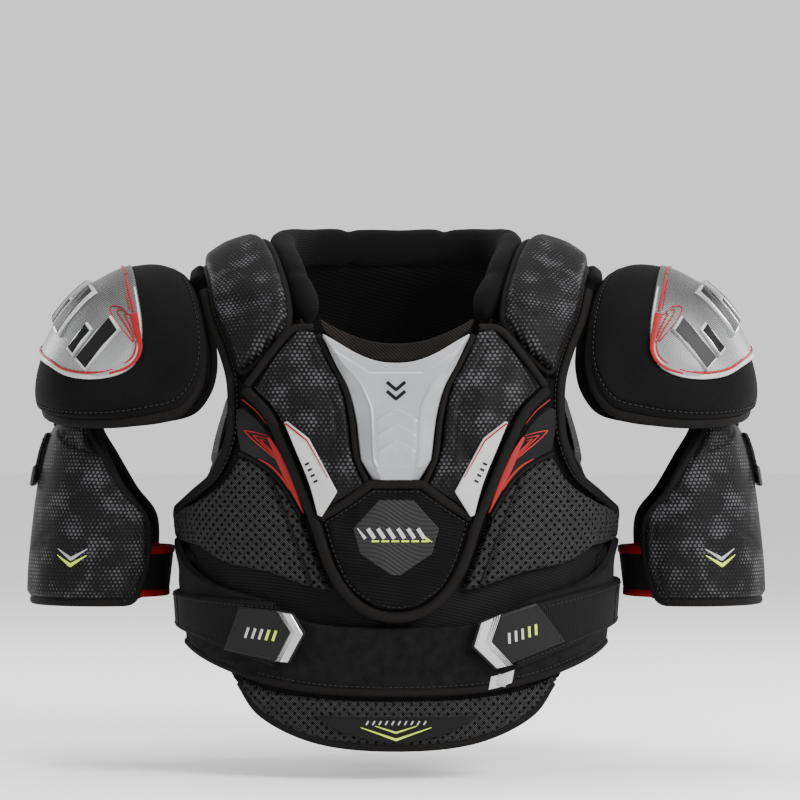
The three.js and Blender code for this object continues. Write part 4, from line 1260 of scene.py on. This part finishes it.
def strap_badge(side, sign):
    upper, lower, inner = (np.array(line, float) for line in STRAP_BADGES[side])
    rim = [drawn(line, 40, 23, sharp=(1,)) for line in (upper, lower)]
    trim(f"strap_badge_body_{side}", [plate_patch(torso, rim, 21.5, 2.3, 70, 40, 1.2)], STRAP_RUBBER,
         f"side_strap_{side}", sign, stands_for=(f"strap_badge_{side}",))
    tip = (upper[0] + lower[0]) / 2
    nib = np.array([upper[1] + (1.2, -1.2), tip + (1.6, 0), lower[1] + (1.2, 1.2)])

    def bent(share):
        return drawn(nib + (inner - nib) * share, 61, BADGE_FACE, sharp=(1,))

    chevron = plate_patch(torso, [bent(0), bent(0.94)], 23.7, 0.8, 60, 10, 0.5)
    trim(f"strap_chevron_{side}", [chevron], CHROME, f"side_strap_{side}", sign, crisp=40)
    wide = np.interp(np.linspace(0, 1, 61), [0, 0.5, 1], [0.8, 0.1, 0.8])
    scores = [stripe(torso, bent(share), 24.55, wide, 0.15) for share in (0.62, 0.74, 0.86)]
    trim(f"strap_chevron_lines_{side}", scores, STRAP_RUBBER, f"side_strap_{side}", sign)
    middle = (upper[1] + upper[2] + lower[1] + lower[2]) / 4
    frame_points = [inner[0], upper[2], lower[2], inner[2], inner[1], inner[0]]
    frame_line = drawn([middle + (np.array(q) - middle) * 0.9 for q in frame_points], 120, BADGE_FACE,
                       sharp=(1, 2, 3, 4))
    thread_line(f"strap_badge_stitches_{side}", f"side_strap_{side}", torso, frame_line, 24.0, 3.4, 2.2,
                0.35, side=sign)
    across = (upper[2] - upper[1]) / np.linalg.norm(upper[2] - upper[1])
    upright = np.array([-across[1], across[0]])
    white, lime = [], []
    for k in range(5):
        foot = middle + across * (12 - 5.4 * k) - upright * 4.5
        head = foot + upright * 8 + across * 2.0 * sign
        ends = front(np.array([foot, head]), BADGE_FACE)
        bar = stripe(torso, np.linspace(ends[0], ends[1], 6), 23.9, 2.1, 0.4)
        outermost = k if side == "left" else 4 - k
        (lime if outermost < 2 else white).append(bar)
    trim(f"strap_bars_white_{side}", white, WHITE, f"side_strap_{side}", sign, crisp=40)
    trim(f"strap_bars_lime_{side}", lime, LIME, f"side_strap_{side}", sign, crisp=40)


def extension():
    top = [(-48, -291), (-34, -303), (-17, -309), (0, -311), (17, -309), (34, -303), (48, -291)]
    low = [(-44, -298), (-36, -321), (-19, -340), (0, -346), (19, -340), (36, -321), (44, -298)]
    pad("extension_cover", torso, [trace(top, 121), trace(low, 121)], (9, 14), MESH, "belly_extension",
        rows=220, cols=56, roll=4, crown=1.2, relief=mesh_relief, uv_of=torso_uv,
        stands_for=("extension_pad",), ease=0.1)
    tape_line("extension_tape", "belly_extension", torso, trace(low, 200), 11, 6.5, 3.4)
    above = trace([(t * 0.97, z + 5.5) for t, z in low], 200)
    thread_line("extension_stitches", "belly_extension", torso, above, 15.6)
    foot = [(-49.5, -292), (-40, -308), (-22, -321), (0, -326), (22, -321), (40, -308), (49.5, -292)]
    head = [(-49, -276), (-38, -267), (-20, -257), (0, -257), (20, -257), (38, -267), (49, -276)]
    pad("tongue_cover", torso, [trace(foot, 100), trace(head, 100)], (6.2, 8.2), LOOP, "belly_extension",
        rows=80, cols=40, roll=1, uv_of=torso_uv, fill=0.2,
        stands_for=("extension_hook_tongue",))
    label = [trace([(-19, -321), (0, -323), (19, -321)], 40), trace([(-12, -334), (0, -342), (12, -334)], 40)]
    trim("extension_label_body", [plate_patch(torso, label, 15.6, 1.2, 40, 16)], BLACK_GLOSS,
         "belly_extension", stands_for=("extension_label",))
    lime = []
    for z, thickest, reach, rise in ((-334.4, 1.5, 16, 5.2), (-339.8, 1.9, 27, 9.4)):
        arrow = drawn([(-reach, z + rise), (0, z), (reach, z + rise)], 81, LABEL_FACE, sharp=(1,))
        width = np.interp(np.linspace(0, 1, 81), [0, 0.5, 1], [0.5, thickest, 0.5])
        lime.append(stripe(torso, arrow, 16.7, width, 0.4))
    trim("extension_chevrons", lime, LIME, "belly_extension", crisp=40)
    bars = []
    for x in np.linspace(-22, 22, 10):
        ends = front(np.array([(x - 0.9, -328.4), (x + 0.9, -325.4)]), LABEL_FACE)
        bars.append(stripe(torso, np.linspace(*ends, 6), 16.7, 1.1, 0.3))
    trim("extension_label_bars", bars, WHITE, "belly_extension", crisp=40)


# ---------------------------------------------------------------- caps and biceps guards
def both_faces(points):
    return [*points, *[(x, -y, z) for x, y, z in points[1:-1][::-1]]]


CAP_RIM = both_faces([(173, 0, 22), (169, -20, 20), (163, -42, 14), (157, -60, 4), (153, -74, -14),
                      (151, -82, -34), (151, -87, -52), (156, -90, -70), (168, -93, -86), (190, -94, -92),
                      (214, -90, -95), (236, -80, -95), (256, -64, -93), (272, -40, -90), (281, -18, -87),
                      (284, 0, -86)])
INSERT_RIM = both_faces([(210, 0, 22), (208, -24, 16), (204, -48, 6), (200, -68, -8), (197, -80, -24),
                         (197, -86, -40), (202, -90, -54), (214, -89, -62), (230, -84, -65), (246, -74, -63),
                         (260, -60, -56), (272, -40, -50), (280, -20, -46), (283, 0, -44)])
CAP_POLE, INSERT_POLE = (30, 0, 70), (60, 0, 55)


def ring(share, count=240):
    return np.stack([np.full(count, share), np.linspace(0, 1, count)], -1)


def caps():
    for side, sign in SIDES.items():
        body = f"shoulder_cap_{side}"
        cap = polar(CAP_RIM, CAP_POLE)
        edges = [[(0.0, 0.0), (0.0, 1.0)], [(1.0, 0.0), (1.0, 1.0)]]

        def folds(uv, flat, reach):
            channel = -1.8 * np.exp(-(((reach - 7.6) / 1.5) ** 2))
            soft = 0.5 * np.sin(uv[..., 0] / 13) * np.sin(uv[..., 1] / 11 + uv[..., 0] / 23)
            return channel + soft

        pad(f"cap_cover_{side}", cap, edges, (-CAP_THICKNESS, 0), KNIT, body, rows=220,
            cols=80, roll=6.5, crown=1.5, relief=folds, side=sign, uv_of=polar_uv, loop=True, fill=0.8,
            stands_for=(f"cap_pad_{side}",))
        tape_line(f"cap_tape_{side}", body, cap, ring(1.03)[:-1], -7.0, 8.4, 3.8, side=sign, closed=True,
                  stands_for=(f"cap_piping_{side}",))
        thread_line(f"cap_stitches_{side}", body, cap, inside_rim(cap, 7.6), 0.1, 4.4, 2.8, 0.5, side=sign)
        insert = polar(INSERT_RIM, INSERT_POLE)
        trim_insert(side, sign, body, insert, edges)
        hard_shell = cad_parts[f"cap_shell_{side}"]
        hard_shell.data.materials.clear()
        hard_shell.data.materials.append(SHELL)


# Red print on the cap's front, as seen from the front (x, z), with its width along the line.
CAP_PRINT = [
    ([(212, 19), (209.5, 9.5), (206.2, -2.2), (204.2, -11)], (), (1.3, 1.7, 2.0, 2.2)),
    ([(204.0, -12.5), (202.2, -19), (200.6, -26), (198.7, -34), (198.2, -41), (201.5, -49), (209.7, -55.6),
      (222, -59.4)], (), (6.4, 5.4, 4.4, 3.4, 2.8, 2.4, 2.0, 1.7)),
    ([(213.4, 15), (211.4, 9), (209.4, 0), (207.2, -9.5)], (), (0.5, 0.9, 0.9, 0.5)),
    ([(209.8, -11.1), (213.3, -8), (219.6, -6.4), (222.6, -8.2), (220.7, -13.7), (213.9, -23.6),
      (203.4, -35)], (), (0.3, 0.7, 0.9, 1.1, 1.3, 1.4, 1.0)),
    ([(208.6, -12.4), (213.3, -9.9), (216.9, -10.2), (213.9, -15.6), (207.6, -25.2), (202.6, -34)],
     (), (0.3, 0.7, 1.0, 1.3, 1.4, 0.9)),
    ([(207.4, -13.2), (211.4, -12.6), (206.7, -21), (202, -32)], (1,), (0.5, 1.0, 1.5, 0.9)),
    ([(218, -54.4), (209.7, -51.3), (203.8, -46.1), (201.5, -39.5), (201.7, -34)], (),
     (0.4, 1.0, 1.5, 1.5, 0.9)),
]


EMBLEM_STEPS = (-0.97, -0.6, -0.21, 0.21, 0.6, 0.97)
EMBLEM_BARS = ([(-11, -19), (1, -19), (9, 18), (-3, 18)], [(5, -19), (12, -19), (16.6, 2), (9.6, 2)])


def emblem_middle(u):
    return np.array([32 + 28 * (1 - u * u), 86 * u, 34 + 38 * (1 - u * u)])


def raised(corners, middle, along, up, levels):
    """A block with slanting sides raised on the cap: levels are (growth, depth) from foot to top."""
    ring_points = []
    for a, b in zip(corners, corners[1:] + corners[:1]):
        ring_points += [tuple(np.array(a) + (np.array(b) - np.array(a)) * t) for t in (0, 0.2, 0.4, 0.6, 0.8)]
    ring_points = np.array(ring_points)
    centre = ring_points.mean(0)
    outward_way = unit(ring_points - centre)
    n = len(ring_points)
    points, faces = [], []
    for growth, depth in levels:
        spot = ring_points + outward_way * growth
        directions = middle + np.outer(spot[:, 0], along) + np.outer(spot[:, 1], up)
        points.append(dome(directions, np.full(n, float(depth))))
    for k in range(len(levels) - 1):
        faces += [[k * n + i, k * n + (i + 1) % n, (k + 1) * n + (i + 1) % n, (k + 1) * n + i]
                  for i in range(n)]
    top = middle + centre[0] * along + centre[1] * up
    points.append(dome(top[None], np.array([float(levels[-1][1])])))
    base = (len(levels) - 1) * n
    faces += [[base + i, base + (i + 1) % n, len(levels) * n] for i in range(n)]
    faces.append(list(range(n))[::-1])
    points = np.vstack(points)
    return points, faces, np.zeros((len(points), 2))


def trim_insert(side, sign, body, insert, edges):
    spine = np.array([emblem_middle(u) for u in np.linspace(-1.05, 1.05, 60)])
    spine = dome(spine, np.full(60, 4.0))

    def puff(uv, flat, reach):
        gap = np.min(np.linalg.norm(flat[:, :, None] - spine[None, None], axis=-1), axis=-1)
        return 2.4 * np.exp(-((gap / 21) ** 4)) * np.clip(reach / 12, 0, 1)

    pad(f"cap_silver_{side}", insert, edges, (1.0, 3.4), SILVER, body, rows=220, cols=60,
        roll=1.6, relief=puff, side=sign, uv_of=polar_uv, loop=True, fill=0.3,
        stands_for=(f"cap_insert_{side}",))
    edge = inside_rim(insert, 2.6, 0.13, 0.87)
    width = np.interp(np.linspace(0.13, 0.87, 240), [0.13, 0.24, 0.34, 0.66, 0.76, 0.87],
                      [1.5, 2.5, 4.6, 4.6, 2.5, 1.5])
    trim(f"cap_white_edge_{side}", [stripe(insert, edge, 3.3, width, 0.4)], WHITE, body, sign)

    def seen(line):
        return dome_front(line, 4)

    red = print_lines(dome, seen, CAP_PRINT, 3.9)
    red += print_lines(dome, seen, CAP_PRINT, 3.9, flip_y=True)
    red.append(stripe(insert, inside_rim(insert, 6.9, 0.266, 0.734), 4.2, 1.9, 0.4))
    red.append(stripe(insert, inside_rim(insert, 7.4, -0.1, 0.1, 120), 4.2, 1.6, 0.6))
    trim(f"cap_red_lines_{side}", red, RED, body, sign)
    bodies, tops = [], []
    for u in EMBLEM_STEPS:
        middle = emblem_middle(u)
        along = unit(emblem_middle(u + 0.02) - emblem_middle(u - 0.02))
        up = unit(np.cross(along, middle))
        up = up * np.sign(up[2] - up[0])
        for corners in EMBLEM_BARS:
            bodies.append(raised(corners, middle, along, up,
                                 ((2.4, 2.5), (1.6, 5.6), (0.9, 7.6), (0.1, 8.1), (-0.6, 8.2))))
            tops.append(raised(corners, middle, along, up, ((-0.8, 7.8), (-0.9, 8.5), (-1.2, 8.7))))
    trim(f"cap_emblem_body_{side}", bodies, CHROME, body, sign, crisp=35)
    trim(f"cap_emblem_top_{side}", tops, BLACK_GLOSS, body, sign, crisp=35)


def guards():
    for side, sign in SIDES.items():
        body = f"biceps_guard_{side}"
        half = trace([(56, -94), (64, -106), (80, -124), (102, -154), (121, -174), (126, -200), (124, -220),
                      (118, -238)], 90)
        front_edge, back_edge = mirrored(half), half
        pad(f"guard_lining_{side}", arm, [front_edge * np.array([0.97, 1]), back_edge * np.array([0.97, 1])],
            (0.5, 3), LINER_CLOTH, body, rows=70, cols=60, roll=1.2, side=sign, uv_of=arm_uv,
            fill=0.3, stands_for=(f"biceps_liner_{side}",))
        mark_line = line_at(arm, trace([(-80, -198), (-66, -208), (-52, -198)], 50, sharp=(1,)), 13)
        channel = line_at(arm, trace([(-70, -112), (-96, -150), (-112, -176), (-115, -228)], 70), 13)
        pad(f"guard_cover_{side}", arm, [front_edge, back_edge], (4.5, 13), PRINT, body,
            rows=110, cols=110, roll=6, crown=1.5, cloth=3.0, cap=3.0,
            seams=[(channel, 1.5, 0.8), (mark_line, 9, 0.0)], side=sign, uv_of=arm_uv, fill=0.7,
            stands_for=(f"biceps_guard_{side}",))
        loop = np.vstack([front_edge, trace([(-112, -239), (0, -239), (112, -239)], 90), back_edge[::-1],
                          trace([(50, -94), (0, -94), (-50, -94)], 40)])
        tape_line(f"guard_tape_{side}", body, arm, smooth_loop(loop, 320), 7.5, 7, 3.6, side=sign,
                  closed=True)
        inset = np.vstack([front_edge[30:] * np.array([0.93, 1]),
                           trace([(-106, -232), (0, -232), (106, -232)], 90)])
        thread_line(f"guard_stitches_{side}", body, arm, inset, 13.6, side=sign)
        marks = []
        for z, finish in ((-205, GREY_PRINT), (-210, LIME)):
            a = -66
            arrow = trace([(a - 12, z + 8), (a, z), (a + 12, z + 8)], 41, sharp=(1,))
            wide = np.interp(np.linspace(0, 1, 41), [0, 0.5, 1], [0.6, 3.0, 0.6])
            marks.append((finish, stripe(arm, arrow, 14.4, wide, 0.4)))
        for finish, part in marks:
            trim(f"guard_mark_{finish.name}_{side}", [part], finish, body, sign)
        strap = [trace([(129, -196), (231, -196)], 40), trace([(129, -236), (231, -236)], 40)]
        pad(f"arm_strap_web_{side}", arm, strap, (0.5, 3.2), WEBBING, body, rows=60, cols=24,
            roll=1.2, side=sign, uv_of=arm_uv, held="stretched",
            stands_for=(f"arm_strap_{side}",))
        edges = [stripe(arm, trace([(129, z), (231, z)], 60), 2.2, 6, 1.6) for z in (-199, -233)]
        trim(f"arm_strap_edges_{side}", edges, RED_TAPE, body, sign)
        hangers(side, sign)


def hangers(side, sign):
    def sheet_of(points):
        line = trace(points, 40)
        table = np.column_stack([np.linspace(0, 1, 40), line])

        def surface(places, depth):
            at = smooth_row(table, places[..., 1])
            return np.stack([at[..., 0] + depth, places[..., 0], at[..., 1]], -1)

        return surface

    upper = sheet_of([(252, -54), (258.5, -66), (264, -78), (269, -93), (271.8, -101)])
    lower = sheet_of([(277.6, -106), (283, -121), (288, -146)])
    edges = [[(-10, 0), (-10, 1)], [(20, 0), (20, 1)]]
    pad(f"hanger_tab_web_{side}", upper, edges, (0, 2.2), WEBBING, f"hanger_tab_{side}",
        rows=40, cols=16, roll=1, side=sign, held="hung",
        stands_for=(f"hanger_tab_{side}",))
    pad(f"hanger_strap_web_{side}", lower, edges, (0, 2.4), WEBBING, f"hanger_strap_{side}",
        rows=40, cols=16, roll=1, side=sign, held="hung",
        stands_for=(f"hanger_strap_{side}",))
    loop = []
    for y, z in ((-12, -134), (22, -134), (22, -147), (-12, -147)):
        loop.append((288.2 - 0.17 * (z + 134), y, z))
    outline = np.array(trace([*loop, loop[0]], 97, sharp=(1, 2, 3)))[:-1]
    bar = np.array(trace([loop[0], loop[1]], 20)) + np.array([1.0, 0, -6.5])
    out_way = np.tile([1.0, 0.0, 0.2], (96, 1))
    trim(f"hanger_buckle_{side}", [sweep(outline, out_way, 1.7, 1.7, closed=True),
                                   sweep(bar, out_way[:20], 1.5, 1.5)], SHELL, f"hanger_strap_{side}",
         sign)
    box = [(-9, 0.12), (19, 0.12), (19, 0.66), (-9, 0.66), (-9, 0.12)]
    thread_line(f"hanger_stitches_{side}", f"hanger_strap_{side}", lower, trace(box, 80, sharp=(1, 2, 3)),
                2.5, 3.6, 2.3, 0.35, side=sign)


# ---------------------------------------------------------------- studio
CAMERA_X, CAMERA_Y, CAMERA_Z = 3, -3000, -80
FIELD = 640  # width of the view at the wearer's middle
FLOOR_Z = -372
FLOOR_SIZE = 12  # metres
SENSOR = 36
SKY = 1.05
LAMPS = (  # name, place and size in metres, power in watts
    ("key", (1.5, -1.3, 0.9), 0.9, 80),
    ("fill", (-1.6, -1.5, 0.4), 1.4, 10),
    ("top", (0.0, 0.1, 1.9), 1.4, 30),
    ("rim_left", (-1.5, 1.0, 0.5), 0.8, 20),
    ("rim_right", (1.5, 1.0, 0.5), 0.8, 20),
)
LAMP_AIM = (0, 0, -0.12)


def studio():
    scene = bpy.context.scene
    camera = bpy.data.cameras.new("camera")
    camera.sensor_width = SENSOR
    camera.lens = SENSOR * -CAMERA_Y / FIELD
    eye = bpy.data.objects.new("camera", camera)
    eye.location = (CAMERA_X * MM, CAMERA_Y * MM, CAMERA_Z * MM)
    eye.rotation_euler = (math.pi / 2, 0, 0)
    scene.collection.objects.link(eye)
    scene.camera = eye
    mesh = bpy.data.meshes.new("floor")
    corners = np.array([(-1, -1, 0), (1, -1, 0), (1, 1, 0), (-1, 1, 0)]) * FLOOR_SIZE + [0, 0, FLOOR_Z * MM]
    mesh.from_pydata(corners.tolist(), [], [(0, 1, 2, 3)])
    paper = Shader("floor_paper", (0.9, 0.9, 0.9), 0.9)
    fine = paper.noise(paper.solid(), 0.3, 2)
    paper.color(paper.mix(fine, (0.895, 0.895, 0.895), (0.905, 0.905, 0.905)))
    mesh.materials.append(paper.material)
    floor = bpy.data.objects.new("floor", mesh)
    scene.collection.objects.link(floor)
    world = bpy.data.worlds.new("studio")
    world.use_nodes = True
    world.node_tree.nodes["Background"].inputs[0].default_value = (1, 1, 1, 1)
    world.node_tree.nodes["Background"].inputs[1].default_value = SKY
    scene.world = world
    for name, spot, size, power in LAMPS:
        lamp = bpy.data.lights.new(name, "AREA")
        lamp.size = size
        lamp.energy = power
        obj = bpy.data.objects.new(name, lamp)
        obj.location = spot
        obj.rotation_euler = (Vector(LAMP_AIM) - Vector(spot)).to_track_quat("-Z", "Y").to_euler()
        scene.collection.objects.link(obj)


liners()
back()
mesh_panels()
belly()
neckline()
chest_pads()
centre()
sternum()
accents()
side_gussets()
bindings_of_bib()
shoulders()
collar()
straps()
extension()
caps()
guards()
studio()

bpy.context.view_layer.update()
